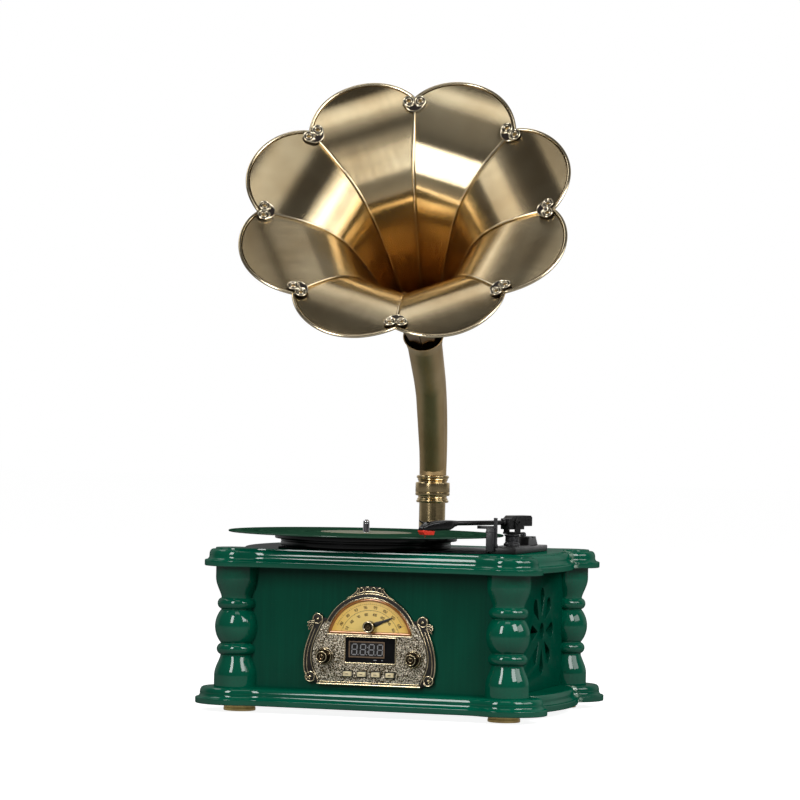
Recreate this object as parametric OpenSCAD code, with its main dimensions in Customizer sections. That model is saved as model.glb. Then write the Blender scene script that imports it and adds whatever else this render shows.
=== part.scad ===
// Record player with a petal horn: a wooden cabinet with turned corner
// columns, a belt-driven platter, a tonearm and a brass horn on a bent pipe.
// Millimetres, +Z up, front towards -Y. The origin lies on the floor, under
// the middle of the whole object's box.

/* [Cabinet] */
// Distance between the left and right column axes
col_span_x = 306.4; // [296:0.2:330]
// Distance between the front and back column axes
col_span_y = 245; // [236:0.5:262]
// Height of the columns and panels between the two boards
col_h = 131; // [124:0.5:150]
// Thickness of the four wall panels
panel_t = 9; // [7:0.5:11]
// Thickness of the moulded base board
base_t = 18; // [17:0.5:26]
// Thickness of the moulded top board
top_t = 20; // [19:0.5:26]
// Reach of the base board's round corner lobes past the column axes
base_over = 43.7; // [41:0.1:48]
// Reach of the top board's round corner lobes past the column axes
top_over = 36; // [34:0.1:40]
// Step back of the board's front middle behind its corner lobes
front_step = 9; // [6:0.5:12]
// Step back of the board's side middle behind its corner lobes
side_step = 6; // [4:0.2:8]
// Radius of the hollow curve between lobe and middle at the front
front_fillet_r = 40; // [24:1:48]
// Distance of the side cusps from the line between two corner columns
cusp_in = 36; // [33:0.5:39]
// Height of the feet
foot_h = 8; // [6:0.5:14]
// Diameter of the feet
foot_d = 35; // [28:1:44]

/* [Columns] */
// Radius of the columns at their balls and ends
col_r = 23.4; // [21:0.2:26]
// Radius of the columns at their rings
col_ring_r = 21.1; // [19:0.1:23]
// Radius of the columns at their necks
col_neck_r = 17; // [15:0.1:18.5]
// Half height of the ball, up to its neck
col_ball_h = 17.5; // [15:0.5:20]
// Height of a ring between its two necks
col_ring_h = 14.5; // [12:0.5:17]
// Height of the straight part at each end of a column
col_end_h = 12; // [5:0.5:14]

/* [Side grilles] */
// Distance of the flower's middle behind the middle of the side
flower_y = 17; // [10:0.5:24]
// Height of the flower's middle above the base board
flower_rise = 64; // [60:0.5:68]
// Overall diameter of the flower cut-out
flower_d = 95.5; // [84:0.5:98]
// Radius at which the petals' inner tips start
petal_in_r = 16.5; // [13:0.5:20]
// Width of one petal of the cut-out
petal_w = 16; // [10:0.5:18]
// Diameter of the hole in the flower's middle
flower_eye_d = 18; // [10:0.5:20]
// Radius of a side speaker's frame
speaker_r = 52; // [50:0.5:55]
// Depth of a side speaker
speaker_depth = 42; // [36:0.5:46]

/* [Front plate] */
// Half width of the bronze plate at its widest
fascia_half_w = 75; // [72:0.5:80]
// Thickness of the bronze plate
fascia_t = 4; // [3:0.5:6]
// Height of the raised border on the plate
fascia_border_t = 2; // [1:0.25:3]
// Height of the plate's lower edge above the base board
fascia_low = 6; // [4:0.5:7]
// Radius of the plate's arch
arch_r = 54; // [52:0.5:56]
// Height of the arch's centre above the base board
arch_z = 52.5; // [51:0.5:55]
// Radius of the tuning dial
dial_r = 48; // [44:0.5:50]
// Height of the dial's straight lower edge above the arch's centre
dial_cut = 9.5; // [8:0.5:12]
// Width of the display window
window_w = 56; // [50:0.5:60]
// Height of the display window
window_h = 27; // [22:0.5:28]
// Height of the display window's middle above the base board
window_z = 45; // [43:0.5:45.5]
// Distance of the two large knobs from the plate's ends
knob_in = 25; // [23:0.5:29]
// Height of the two large knobs above the base board
knob_z = 37; // [34:0.5:42]
// Skirt radius of the two large knobs
knob_r = 9.5; // [8:0.25:11]
// Cap radius of the two large knobs
knob_cap_r = 6.5; // [5:0.25:7.5]
// Height of the two large knobs in front of the plate
knob_h = 12; // [9:0.5:15]
// Height of the tuning knob above the arch's centre
tune_rise = 18; // [16:0.5:22]
// Radius of the tuning knob
tune_r = 6.5; // [5:0.25:8]
// Length of the pointer from the knob's axis
pointer_len = 27; // [20:0.5:30]
// Angle of the pointer above the horizontal
pointer_angle = 22; // [10:1:60]
// Distance between neighbouring push buttons
button_pitch = 16; // [13:0.25:17]
// Width of a push button
button_w = 9; // [7:0.25:11]
// Height of a push button
button_h = 5; // [4:0.25:6]
// Height of the buttons' middle above the base board
button_z = 19; // [16:0.5:23]
// Travel of a push button
button_travel = 1; // [0.5:0.1:1.2]

/* [Turntable] */
// Place of the spindle, left to right
spindle_x = -33; // [-36:0.5:-31]
// Place of the spindle, front to back
spindle_y = -42; // [-46:0.5:-41]
// Radius of the record
record_r = 151; // [147:0.5:151]
// Thickness of the record
record_t = 1.7; // [1.2:0.1:2.4]
// Radius of the record's paper label
label_r = 50; // [46:0.5:52]
// Radius of the platter
platter_r = 100; // [96:0.5:104]
// Radius of the platter's lower skirt
skirt_r = 93.5; // [90:0.5:95]
// Gap between the top board and the platter's skirt
platter_gap = 2; // [1.5:0.25:3]
// Height of the platter's skirt
skirt_h = 8; // [7:0.5:9]
// Height of the platter's rim
rim_h = 6.4; // [6:0.2:7.4]
// Thickness of the mat
mat_t = 1.5; // [1:0.1:2.5]
// Radius of the spindle
spindle_r = 3.6; // [3:0.1:3.7]
// Height of the spindle above the record
spindle_h = 14; // [9:0.5:16]
// Radius of the ring under the platter that the belt drives
drive_ring_r = 58; // [50:0.5:62]
// Radius of the motor pulley
pulley_r = 5; // [4:0.25:6]
// Distance of the motor from the spindle
motor_dist = 78; // [76:0.5:80]
// Thickness of the drive belt
belt_t = 1; // [0.8:0.1:1.5]

/* [Tonearm] */
// Place of the tonearm's pivot, left to right
arm_x = 130; // [128:0.5:132]
// Place of the tonearm's pivot, front to back
arm_y = -31; // [-34:0.5:-28]
// Height of the arm tube's axis above the top board
arm_z = 33; // [31:0.5:35]
// Length from the pivot to the stylus
arm_len = 141; // [139:0.5:146]
// Angle of the parked arm from straight ahead, towards the record
arm_park = 26; // [24:0.5:27]
// Radius of the arm tube
arm_tube_r = 2.6; // [2.2:0.1:3]
// Length of the headshell
headshell_len = 54; // [46:1:60]
// Width of the headshell
headshell_w = 14; // [12:0.5:16]
// Width of the arm's base plate
arm_base_w = 30.5; // [29:0.5:34]
// Length of the arm's base plate
arm_base_len = 133; // [126:1:140]
// Thickness of the arm's base plate
arm_base_t = 7; // [5:0.5:8]
// Length of the block behind the arm's pivot
rear_len = 26; // [20:0.5:30]
// Height of the block on the arm
rear_h = 15; // [13:0.5:16]

/* [Pipe] */
// Place of the pipe's axis, left to right
pipe_x = -7.5; // [-10:0.1:0]
// Place of the pipe's axis, front to back
pipe_y = 125; // [124.5:0.1:126.5]
// Outer radius of the lower pipe
pipe_r = 14.9; // [14.2:0.05:15.6]
// Height of the lower pipe below its collar
pipe_h = 48; // [44:0.5:60]
// Height of the collar
collar_h = 31; // [26:0.5:36]
// Radius of the collar's middle band
collar_r = 19.5; // [18.8:0.1:21]
// Radius of the bend's centre line
bend_r = 135; // [120:1:150]
// Length of the straight part after the bend
bend_run = 71; // [60:1:80]
// Outer radius of the bent pipe below the band at its mouth
pipe_end_r = 19.4; // [18.5:0.1:20.5]
// Outer radius of the bent pipe at its mouth
mouth_r = 22.8; // [22:0.1:25]
// Wall of the pipes
pipe_wall = 1.5; // [1.2:0.1:1.7]

/* [Horn] */
// Direction of the horn from straight ahead, to the right
horn_az = 9.5; // [0:0.1:20]
// Upward tilt of the horn's axis
horn_el = 36.5; // [30:0.5:45]
// Length of the horn from its throat to the valleys of its edge
horn_len = 216; // [200:1:240]
// Radius of the horn at its throat
throat_r = 17; // [16:0.1:17.5]
// Radius of the horn at the valleys of its edge
valley_r = 155; // [140:0.5:165]
// Radius that the inner cone of the horn alone would reach at the edge
cone_r = 83; // [76:0.5:90]
// Flare of the horn outside its inner cone: a higher number opens later
flare = 9; // [6:0.25:11]
// Radius of each round lobe of the edge
lobe_edge_r = 66.1; // [64:0.1:72]
// Rise of each lobe's tip in front of the valleys
tip_rise = 7; // [4:0.5:10]
// Turn of the whole petal pattern about the horn's axis
petal_turn = 1.6; // [0:0.1:22.5]
// Thickness of the petals' sheet
sheet_t = 1.2; // [0.8:0.1:2]
// Radius of the rolled bead on the edge
bead_r = 1.8; // [1.2:0.1:2.4]
// Radius of the raised seams between the petals
seam_r = 1.2; // [0.8:0.1:1.6]
// Half width of a clip on the edge
clip_half_w = 11.8; // [10:0.2:13]
// Half height of a clip on the edge
clip_half_h = 10.3; // [9:0.1:11.5]
// Thickness of a clip
clip_t = 2.5; // [1.5:0.1:4]

/* [Clearances] */
// Radial clearance of a shaft in its bore
fit = 0.05; // [0.02:0.01:0.1]
// Gap between pieces that move past each other
gap = 0.3; // [0.25:0.05:0.4]
// Gap round a push button
button_gap = 0.4; // [0.3:0.05:0.5]

/* [Hidden] */
$fn = 64;

// Levels above the floor
base_z = foot_h;
wall_z = base_z + base_t;
top_z = wall_z + col_h;
deck_z = top_z + top_t;

// Plan of the cabinet
cx = col_span_x / 2;
cy = col_span_y / 2;
in_x = cx - panel_t;
in_y = cy - panel_t;
// Depth that a wood screw bites, and its size
screw_r = 1.5;
screw_head_r = 2.6;
screw_head_t = 1;
screw_bite = 7;
// Clearance of a piece that only sits in a cut-out
seat = 0.1;

green = [0.0, 0.32, 0.23];
green_dark = [0.0, 0.24, 0.17];
brass_col = [0.62, 0.52, 0.34];
bronze_col = [0.42, 0.37, 0.29];
black_col = [0.06, 0.06, 0.065];
steel_col = [0.72, 0.72, 0.74];

// Board outline: corner lobes, bowed sides and a stepped front and back.
// Every curve is moved inwards by the same amount, so that the moulded edge
// keeps its lobes.
mid_y = cy + base_over - front_step;
side_x = cx + base_over - side_step;
cusp_y = cy - cusp_in;
cusp_x = cx + sqrt(pow(base_over, 2) - pow(cusp_in, 2));
bow = max(side_x - cusp_x, 0.5);
bow_r = (pow(cusp_y, 2) + pow(bow, 2)) / (2 * bow);
bow_x = side_x - bow_r;
fil_y = mid_y + front_fillet_r;
fil_x = cx - sqrt(pow(base_over + front_fillet_r, 2) - pow(fil_y - cy, 2));
fil_angle = atan2(fil_y - cy, fil_x - cx);
bow_steps = 5;
lobe_steps = 14;
fil_steps = 4;

// Angle, seen from the bow's centre, at which the bow meets a lobe
function cusp_angle(inset) =
    let (a = bow_r - inset, b = base_over - inset,
         dx = cx - bow_x, d = norm([dx, cy]))
    atan2(cy, dx) - acos((a * a + d * d - b * b) / (2 * a * d));

function bow_point(inset, t) =
    [bow_x + (bow_r - inset) * cos(t), (bow_r - inset) * sin(t)];

// One quarter of the outline, from the side's middle to the front's middle
function quarter(inset) =
    let (t1 = cusp_angle(inset), c = bow_point(inset, t1),
         a0 = atan2(c[1] - cy, c[0] - cx), r = base_over - inset, f = front_fillet_r + inset)
    concat(
        [for (i = [0:bow_steps - 1]) bow_point(inset, t1 * i / bow_steps)],
        [for (i = [0:lobe_steps]) let (t = a0 + (fil_angle - a0) * i / lobe_steps)
            [cx + r * cos(t), cy + r * sin(t)]],
        [for (i = [1:fil_steps]) let (t = fil_angle + 180 + (90 - fil_angle) * i / fil_steps)
            [fil_x + f * cos(t), fil_y + f * sin(t)]]);

function reversed(v) = [for (i = [len(v) - 1:-1:0]) v[i]];
function without_first(v) = [for (i = [1:len(v) - 1]) v[i]];

// The whole outline, counter-clockwise, starting at the middle of the right side
function outline(inset) =
    let (q = quarter(inset), q0 = without_first(q))
    concat(q,
        [for (p = reversed(q0)) [-p[0], p[1]]],
        [[-q[0][0], 0]],
        [for (p = q0) [-p[0], -p[1]]],
        [for (p = reversed(q0)) [p[0], -p[1]]]);

// A board whose edge follows a profile of [inset, height] points
module moulded_board(profile) {
    rings = [for (p = profile) [for (q = outline(p[0])) [q[0], q[1], p[1]]]];
    n = len(rings[0]);
    m = len(profile);
    points = [for (ring = rings) each ring];
    sides = [for (j = [0:m - 2]) for (i = [0:n - 1])
        let (k = (i + 1) % n) [j * n + i, (j + 1) * n + i, (j + 1) * n + k, j * n + k]];
    low = [for (i = [0:n - 1]) i];
    high = [for (i = [n - 1:-1:0]) (m - 1) * n + i];
    polyhedron(points = points, faces = concat([low], sides, [high]), convexity = 4);
}

// Moulded edge, as inset and height from the board's underside: a lip, a cove
// and a round shoulder. The top board has a small raised step inside it.
lip_h = 6.3;
cove_r = 4;
cove_in = 1;
shoulder_w = 4;
shoulder_h = 6;
step_h = 1.7;
step_in = 12;
function edge_profile(t) = concat(
    [[1, 0], [0, 1], [0, lip_h - 0.5], [0.6, lip_h]],
    [for (a = [0:30:90]) [cove_in + cove_r * sin(a), lip_h + 0.5 + cove_r * (1 - cos(a))]],
    [for (a = [0:30:90]) [cove_in + cove_r + shoulder_w * (1 - cos(a)),
        t - shoulder_h + shoulder_h * sin(a)]]);
base_profile = edge_profile(base_t);
top_profile = concat(edge_profile(top_t - step_h), [[step_in - 0.5, top_t - step_h], [step_in, top_t]]);
top_inset = base_over - top_over;

module base_board() {
    color(green) translate([0, 0, base_z]) moulded_board(base_profile);
}

// Height of the spindle bearing below the deck, and its flange
bearing_len = 26;
bearing_r = 7;
bearing_flange_t = 0.9;
motor_angle = 75;
motor_x = spindle_x + motor_dist * cos(motor_angle);
motor_y = spindle_y + motor_dist * sin(motor_angle);
motor_hole_r = pulley_r + 3;

module top_board() {
    color(green) difference() {
        translate([0, 0, top_z])
            moulded_board([for (p = top_profile) [p[0] + top_inset, p[1]]]);
        translate([spindle_x, spindle_y, top_z - 1]) cylinder(h = top_t + 2, r = bearing_r);
        translate([motor_x, motor_y, top_z - 1]) cylinder(h = top_t + 2, r = motor_hole_r);
    }
}

// A flat shape drawn as seen from the front, standing on its back face
module facing_front(y, t) {
    translate([0, y, 0]) rotate([90, 0, 0]) linear_extrude(t) children();
}

// Cut-outs in the front panel
panel_hole_r = 5.6;
knob_x = fascia_half_w - knob_in;
cutout_x = 34;
cutout_low = button_z - button_h / 2 - 3;
cutout_high = window_z + window_h / 2 + 1;

module front_panel() {
    color(green_dark) difference() {
        facing_front(-in_y, panel_t) difference() {
            translate([-cx, wall_z]) square([2 * cx, col_h]);
            translate([-cutout_x, wall_z + cutout_low])
                square([2 * cutout_x, cutout_high - cutout_low]);
            for (s = [-1, 1]) translate([s * knob_x, wall_z + knob_z]) circle(r = panel_hole_r);
            translate([0, tune_z]) circle(r = panel_hole_r);
        }
    }
}

// Rear sockets: heights above the base board and places from the middle
jack_x = 62;
jack_z = 60;
jack_plate_w = 74;
jack_plate_h = 34;
jack_plate_t = 1.5;
jack_pitch = 18;
jack_r = 4.15;
jack_out = 9;
jack_pin_r = 1.6;
jack_body = 12;
aux_r = 1.8;
aux_nut_r = 5;
jack_hole_r = 5.5;
inlet_x = -70;
inlet_z = 30;
inlet_r = 5.5;
inlet_bore_r = 3.1;
inlet_flange_r = 8;
inlet_depth = 14;
inlet_pin_r = 1;

module back_panel() {
    color(green_dark) facing_front(cy, panel_t) difference() {
        translate([-cx, wall_z]) square([2 * cx, col_h]);
        for (i = [-1:1]) translate([jack_x + i * jack_pitch, wall_z + jack_z]) circle(r = jack_hole_r);
        translate([inlet_x, wall_z + inlet_z]) circle(r = inlet_r);
    }
}

flower_z = wall_z + flower_rise;
petal_big_r = petal_w / 2;
petal_mid = flower_d / 2 - petal_big_r;
petal_count = 8;

// One teardrop of the flower, pointing at the flower's middle
teardrop_steps = 14;

module teardrop() {
    half = 90 + asin(petal_big_r / (petal_mid - petal_in_r));
    polygon(concat([[petal_in_r, 0]],
        [for (i = [0:teardrop_steps]) let (t = half * (2 * i / teardrop_steps - 1))
        [petal_mid + petal_big_r * cos(t), petal_big_r * sin(t)]]));
}

module flower() {
    circle(d = flower_eye_d);
    for (k = [0:petal_count - 1]) rotate(k * 360 / petal_count) teardrop();
}

// A side panel between the front and back panels; x is its inner face
module side_panel(x) {
    color(green_dark) translate([x, 0, 0]) rotate([90, 0, 90]) linear_extrude(panel_t) difference() {
        translate([-in_y, wall_z]) square([2 * in_y, col_h]);
        translate([flower_y, flower_z]) flower();
    }
}

module left_panel() {
    side_panel(-cx);
}

module right_panel() {
    side_panel(in_x);
}

// Points on a circular arc that swells from a chord: x from -half to half
function swell(half, low, high, steps) =
    let (s = high - low, r = (half * half + s * s) / (2 * s))
    [for (i = [0:steps]) let (x = -half + 2 * half * i / steps)
        [high - r + sqrt(r * r - x * x), x]];

col_mid = col_h / 2;
// Half of a column's profile above its middle, as radius and height
bell_low = col_ball_h + col_ring_h;
bell_high = col_h / 2 - col_end_h;
bell_steps = 8;
bell_power = 1.3;
column_half = concat(
    [for (p = swell(col_ball_h, col_neck_r + 0.4, col_r, 12)) if (p[1] >= 0) p],
    [for (p = without_first(swell(col_ring_h / 2, col_neck_r, col_ring_r, 8)))
        [p[0], p[1] + col_ball_h + col_ring_h / 2]],
    [for (i = [1:bell_steps]) let (t = i / bell_steps)
        [col_neck_r + (col_r - col_neck_r) * pow(sin(90 * t), bell_power),
            bell_low + (bell_high - bell_low) * t]],
    [[col_r, col_h / 2]]);

// A turned column; its inner quarter is cut away for the corner of the walls
module column(sx, sy) {
    profile = concat(
        [[0, col_h]],
        [for (p = reversed(column_half)) [p[0], p[1] + col_mid]],
        [for (p = without_first(column_half)) [p[0], col_mid - p[1]]],
        [[0, 0]]);
    notch = col_r + 1;
    color(green) translate([sx * cx, sy * cy, wall_z]) difference() {
        rotate_extrude() polygon(profile);
        translate([sx > 0 ? -notch : 0, sy > 0 ? -notch : 0, -1]) cube([notch, notch, col_h + 2]);
    }
}

module column_front_left() { column(-1, -1); }
module column_front_right() { column(1, -1); }
module column_back_left() { column(-1, 1); }
module column_back_right() { column(1, 1); }

foot_screw_depth = 3;
// The feet stand a little inwards of the column axes
foot_in = 4;
foot_x = cx - foot_in;
foot_y = cy - foot_in;

module feet() {
    color(brass_col) for (sx = [-1, 1], sy = [-1, 1]) translate([sx * foot_x, sy * foot_y,
        0]) difference() {
        cylinder(h = foot_h, d = foot_d);
        translate([0, 0, -1]) cylinder(h = foot_screw_depth + 1, r = screw_head_r + 1);
        translate([0, 0, -1]) cylinder(h = foot_h + 2, r = screw_r);
    }
}

// A screw along +Z with its head's underside at the origin
module screw(length) {
    translate([0, 0, -screw_head_t]) cylinder(h = screw_head_t, r = screw_head_r);
    cylinder(h = length, r = screw_r);
}

flange_r = 21;
flange_t = 3;
flange_screw_r = 18.2;
speaker_flange_t = 3;
speaker_screw_r = speaker_r - 3.5;
cloth_t = 1;

module screws() {
    color(steel_col) {
        for (sx = [-1, 1], sy = [-1, 1]) translate([sx * foot_x, sy * foot_y, foot_screw_depth])
            screw(foot_h - foot_screw_depth + screw_bite);
        for (k = [0:2]) translate([pipe_x, pipe_y, deck_z + flange_t]) rotate(30 + k * 120)
            translate([flange_screw_r, 0, 0]) rotate([180, 0, 0]) screw(flange_t + screw_bite);
        for (s = [-1, 1], k = [0:3])
            translate([s * (in_x - cloth_t - speaker_flange_t), flower_y, flower_z])
            rotate([45 + k * 90, 0, 0]) translate([0, 0, speaker_screw_r])
            rotate([0, s * 90, 0]) screw(speaker_flange_t + cloth_t + screw_bite - 2);
        for (s = [-1, 1]) translate([jack_x + s * (jack_plate_w / 2 - 5), cy + jack_plate_t,
            wall_z + jack_z])
            rotate([90, 0, 0]) screw(jack_plate_t + screw_bite - 1);
    }
}

module speaker_cloths() {
    color(black_col) for (s = [-1, 1])
        translate([s * in_x - (s > 0 ? cloth_t : 0), flower_y, flower_z])
            rotate([0, 90, 0]) difference() {
            cylinder(h = cloth_t, r = speaker_r);
            for (k = [0:3]) rotate(45 + k * 90) translate([speaker_screw_r, 0, -1])
                cylinder(h = cloth_t + 2, r = screw_r);
        }
}

// A side speaker with its flange against the cloth, facing along +Z here
basket_r = speaker_r - 7;
magnet_r = 30;
magnet_h = 14;
speaker_wall = 1.5;

module speaker() {
    back = speaker_depth - magnet_h;
    color([0.13, 0.13, 0.14]) difference() {
        rotate_extrude() polygon([[0, -speaker_depth], [magnet_r, -speaker_depth], [magnet_r, -back],
            [magnet_r + 2, -back], [basket_r, -speaker_flange_t], [speaker_r, -speaker_flange_t],
            [speaker_r, 0], [basket_r - speaker_wall, 0], [12, -back + 6], [10, -back + 9],
                [0, -back + 11]]);
        for (k = [0:3]) rotate(45 + k * 90) translate([speaker_screw_r, 0, -speaker_flange_t - 1])
            cylinder(h = speaker_flange_t + 2, r = screw_r);
    }
}

module left_speaker() {
    translate([-in_x + cloth_t, flower_y, flower_z]) rotate([0, -90, 0]) speaker();
}

module right_speaker() {
    translate([in_x - cloth_t, flower_y, flower_z]) rotate([0, 90, 0]) speaker();
}

// The bronze front plate
plate_y = -cy - fascia_t;
border_y = plate_y - fascia_border_t;
low_z = wall_z + fascia_low;
arc_z = wall_z + arch_z;
tune_z = arc_z + tune_rise;
dial_low = arc_z + dial_cut;
scroll_r = 6.5;
low_scroll = [fascia_half_w - 9, low_z + 9];
high_scroll = [fascia_half_w - 16, arc_z + 24.5];
crown_z = arc_z + arch_r + 1.5;
crown_pitch = 7;

// The plate's outline as seen from the front
module plate_shape() {
    intersection() {
        translate([0, arc_z]) circle(r = arch_r);
        translate([-arch_r, low_z]) square([2 * arch_r, 2 * arch_r]);
    }
    side = [[0, low_z], [fascia_half_w - 17, low_z], [low_scroll[0], low_scroll[1]],
        [fascia_half_w - 2.5, low_z + 14], [fascia_half_w, low_z + 22], [fascia_half_w - 1, low_z + 31],
        [fascia_half_w - 5, low_z + 41], [fascia_half_w - 11.5, arc_z + 2],
            [fascia_half_w - 14, arc_z + 9],
        [high_scroll[0] - 2, high_scroll[1]], [arch_r - 12, arc_z + 33], [0, arc_z + 33]];
    polygon(concat(side, [for (p = reversed(side)) [-p[0], p[1]]]));
    for (s = [-1, 1]) {
        translate([s * low_scroll[0], low_scroll[1]]) circle(r = scroll_r);
        translate([s * high_scroll[0], high_scroll[1]]) circle(r = scroll_r);
    }
    for (i = [-1.5:1.5]) translate([i * crown_pitch, crown_z]) circle(r = 4);
    polygon([[-22, arc_z + 48], [22, arc_z + 48], [13, crown_z + 2], [-13, crown_z + 2]]);
}

// The inner edge of the plate's raised border
module plate_shape_inner() {
    intersection() {
        translate([0, arc_z]) circle(r = arch_r - 4.5);
        translate([-arch_r, low_z]) square([2 * arch_r, 2 * arch_r]);
    }
    side = [[0, low_z + 3], [fascia_half_w - 20, low_z + 3], [low_scroll[0] - 8, low_scroll[1] + 1],
        [fascia_half_w - 9, low_z + 17], [fascia_half_w - 5, low_z + 24],
            [fascia_half_w - 6, low_z + 31],
        [fascia_half_w - 9.5, low_z + 40], [fascia_half_w - 16, arc_z + 2],
            [fascia_half_w - 19, arc_z + 9],
        [arch_r - 9, arc_z + 18], [0, arc_z + 20]];
    polygon(concat(side, [for (p = reversed(side)) [-p[0], p[1]]]));
}

module dial_shape(grow) {
    intersection() {
        translate([0, arc_z]) circle(r = dial_r + grow);
        translate([-dial_r - grow, dial_low - grow]) square([2 * dial_r + 2 * grow, dial_r]);
    }
}

dial_pocket = 2.5;
dial_t = 0.8;
window_t = 1.5;
shaft_r = 3;
bush_bore_r = shaft_r + fit;
shaft_hole_r = shaft_r + 0.4;

function button_x(i) = (i - 2.5) * button_pitch;

module fascia() {
    color(bronze_col) difference() {
        union() {
            facing_front(-cy, fascia_t) plate_shape();
            facing_front(plate_y, fascia_border_t) difference() {
                plate_shape();
                plate_shape_inner();
            }
        }
        facing_front(plate_y + dial_pocket, dial_pocket + 1) dial_shape(0);
        facing_front(-cy + 1, fascia_t + 2) translate([-window_w / 2 - seat,
            wall_z + window_z - window_h / 2 - seat])
            square([window_w + 2 * seat, window_h + 2 * seat]);
        for (i = [1:4]) facing_front(-cy + 1, fascia_t + 2)
            translate([button_x(i) - button_w / 2 - button_gap,
                wall_z + button_z - button_h / 2 - button_gap])
            square([button_w + 2 * button_gap, button_h + 2 * button_gap]);
        for (s = [-1, 1]) translate([s * knob_x, -cy + 1, wall_z + knob_z]) rotate([90, 0, 0])
            cylinder(h = fascia_t + 2, r = shaft_hole_r);
        translate([0, -cy + 1, tune_z]) rotate([90, 0, 0]) cylinder(h = fascia_t + 2, r = shaft_hole_r);
    }
}

dial_face_y = plate_y + dial_pocket - dial_t;

module dial_plate() {
    color([0.85, 0.66, 0.25]) difference() {
        facing_front(plate_y + dial_pocket, dial_t) dial_shape(-seat);
        translate([0, dial_face_y + dial_t + 1, tune_z]) rotate([90, 0, 0])
            cylinder(h = dial_t + 2, r = shaft_hole_r);
    }
}

window_y = plate_y + 2.2;

module display_window() {
    color([0.05, 0.05, 0.06, 0.6]) facing_front(window_y, window_t)
        translate([-window_w / 2, wall_z + window_z - window_h / 2]) square([window_w, window_h]);
}

board_y = -in_y + 9.5;
board_t = 1.6;
module_w = window_w - 4;
module_h = window_h - 2;
led_x = -3;
led_w = 40;
led_h = 17;

module display_module() {
    color([0.16, 0.15, 0.14]) {
        translate([-module_w / 2, window_y, wall_z + window_z - module_h / 2])
            cube([module_w, board_y - window_y, module_h]);
    }
}

control_w = 124;
control_low = button_z - 8;
control_high = window_z + window_h / 2 - 2;
standoff_r = 3;
switch_w = 6;
switch_t = 3;

module control_board() {
    color([0.05, 0.30, 0.16]) {
        translate([-control_w / 2, board_y, wall_z + control_low])
            cube([control_w, board_t, control_high - control_low]);
        for (s = [-1, 1], z = [control_low + 4, control_high - 4])
            translate([s * (control_w / 2 - 4), -in_y, wall_z + z]) rotate([-90, 0, 0])
            cylinder(h = board_y + in_y, r = standoff_r);
        for (i = [1:4]) translate([button_x(i) - switch_w / 2, board_y - switch_t,
            wall_z + button_z - switch_w / 2])
            cube([switch_w, switch_t, switch_w]);
    }
}

pot_r = 8;
pot_front = -in_y + 1.5;
bush_r = 5;
shaft_in = 14;

// Two rotary controls on the board; their bushes reach through the panel
module rotary_controls() {
    color(steel_col) for (s = [-1, 1]) translate([s * knob_x, 0, wall_z + knob_z])
        rotate([90, 0, 0]) difference() {
        union() {
            translate([0, 0, -board_y]) cylinder(h = board_y - pot_front, r = pot_r);
            translate([0, 0, -pot_front]) cylinder(h = pot_front + cy - 1, r = bush_r);
        }
        translate([0, 0, cy - 1 - shaft_in]) cylinder(h = shaft_in + 1, r = bush_bore_r);
    }
}

// A stepped knob along +Z with its shaft below, on the plate's face at z = 0
module knob_turning(skirt_r0, cap_r0, height, shaft_len) {
    skirt_h0 = height * 0.35;
    rotate_extrude() polygon([[0, -shaft_len], [shaft_r, -shaft_len], [shaft_r, gap],
        [skirt_r0 - 0.6, gap],
        [skirt_r0, gap + 0.6], [skirt_r0, skirt_h0 - 0.6], [skirt_r0 - 0.6, skirt_h0],
            [cap_r0 + 0.6, skirt_h0],
        [cap_r0, skirt_h0 + 0.8], [cap_r0, height - 1], [cap_r0 - 1, height], [cap_r0 * 0.55, height],
        [cap_r0 * 0.4, height - 0.8], [0, height - 0.8]]);
}

module large_knob(s) {
    color(bronze_col) translate([s * knob_x, plate_y, wall_z + knob_z]) rotate([90, 0, 0])
        knob_turning(knob_r, knob_cap_r, knob_h, fascia_t + shaft_in - 2);
}

module volume_knob() { large_knob(-1); }
module mode_knob() { large_knob(1); }

cap_w = 30;
cap_h = 22;
cap_t = 18;
tune_shaft = 20;
tune_h = 8;

module tuning_capacitor() {
    color([0.85, 0.85, 0.82]) difference() {
        union() {
            translate([-cap_w / 2, -in_y, tune_z - cap_h / 2]) cube([cap_w, cap_t, cap_h]);
            translate([0, -in_y, tune_z]) rotate([90, 0, 0]) cylinder(h = panel_t - 1, r = bush_r);
        }
        translate([0, -cy + tune_shaft - 4, tune_z]) rotate([90, 0, 0])
            cylinder(h = tune_shaft, r = bush_bore_r);
    }
}

pointer_t = 0.8;
pointer_y = dial_face_y - gap - pointer_t;
pointer_base = 2;

module tuning_knob() {
    depth = tune_shaft - 6;
    color(bronze_col) translate([0, pointer_y, tune_z]) rotate([90, 0, 0])
        rotate_extrude() polygon([[0, -depth], [shaft_r, -depth], [shaft_r, 0], [tune_r, 0],
            [tune_r, tune_h - 1], [tune_r - 1, tune_h], [tune_r * 0.6, tune_h],
                [tune_r * 0.45, tune_h - 0.8],
            [0, tune_h - 0.8]]);
}

// The pointer is a thin bar on the tuning knob's shaft, behind the knob
module dial_pointer() {
    color(black_col) translate([0, pointer_y + pointer_t, tune_z]) rotate([90, 0, 0]) difference() {
        linear_extrude(pointer_t) union() {
            circle(r = shaft_r + 1.6);
            rotate(pointer_angle) polygon([[0, -pointer_base], [pointer_len - 7, -0.7],
                [pointer_len, -0.4],
                [pointer_len, 0.4], [pointer_len - 7, 0.7], [0, pointer_base]]);
        }
        translate([0, 0, -1]) cylinder(h = pointer_t + 2, r = shaft_r);
    }
}

button_out = 1.8;

// Push button i, counted from the left; its stem reaches towards its switch
module button(i) {
    stem_end = board_y - switch_t - button_travel - gap;
    front = plate_y - button_out;
    color(bronze_col) translate([button_x(i) - button_w / 2, front, wall_z + button_z - button_h / 2])
        cube([button_w, stem_end - front, button_h]);
}

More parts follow.
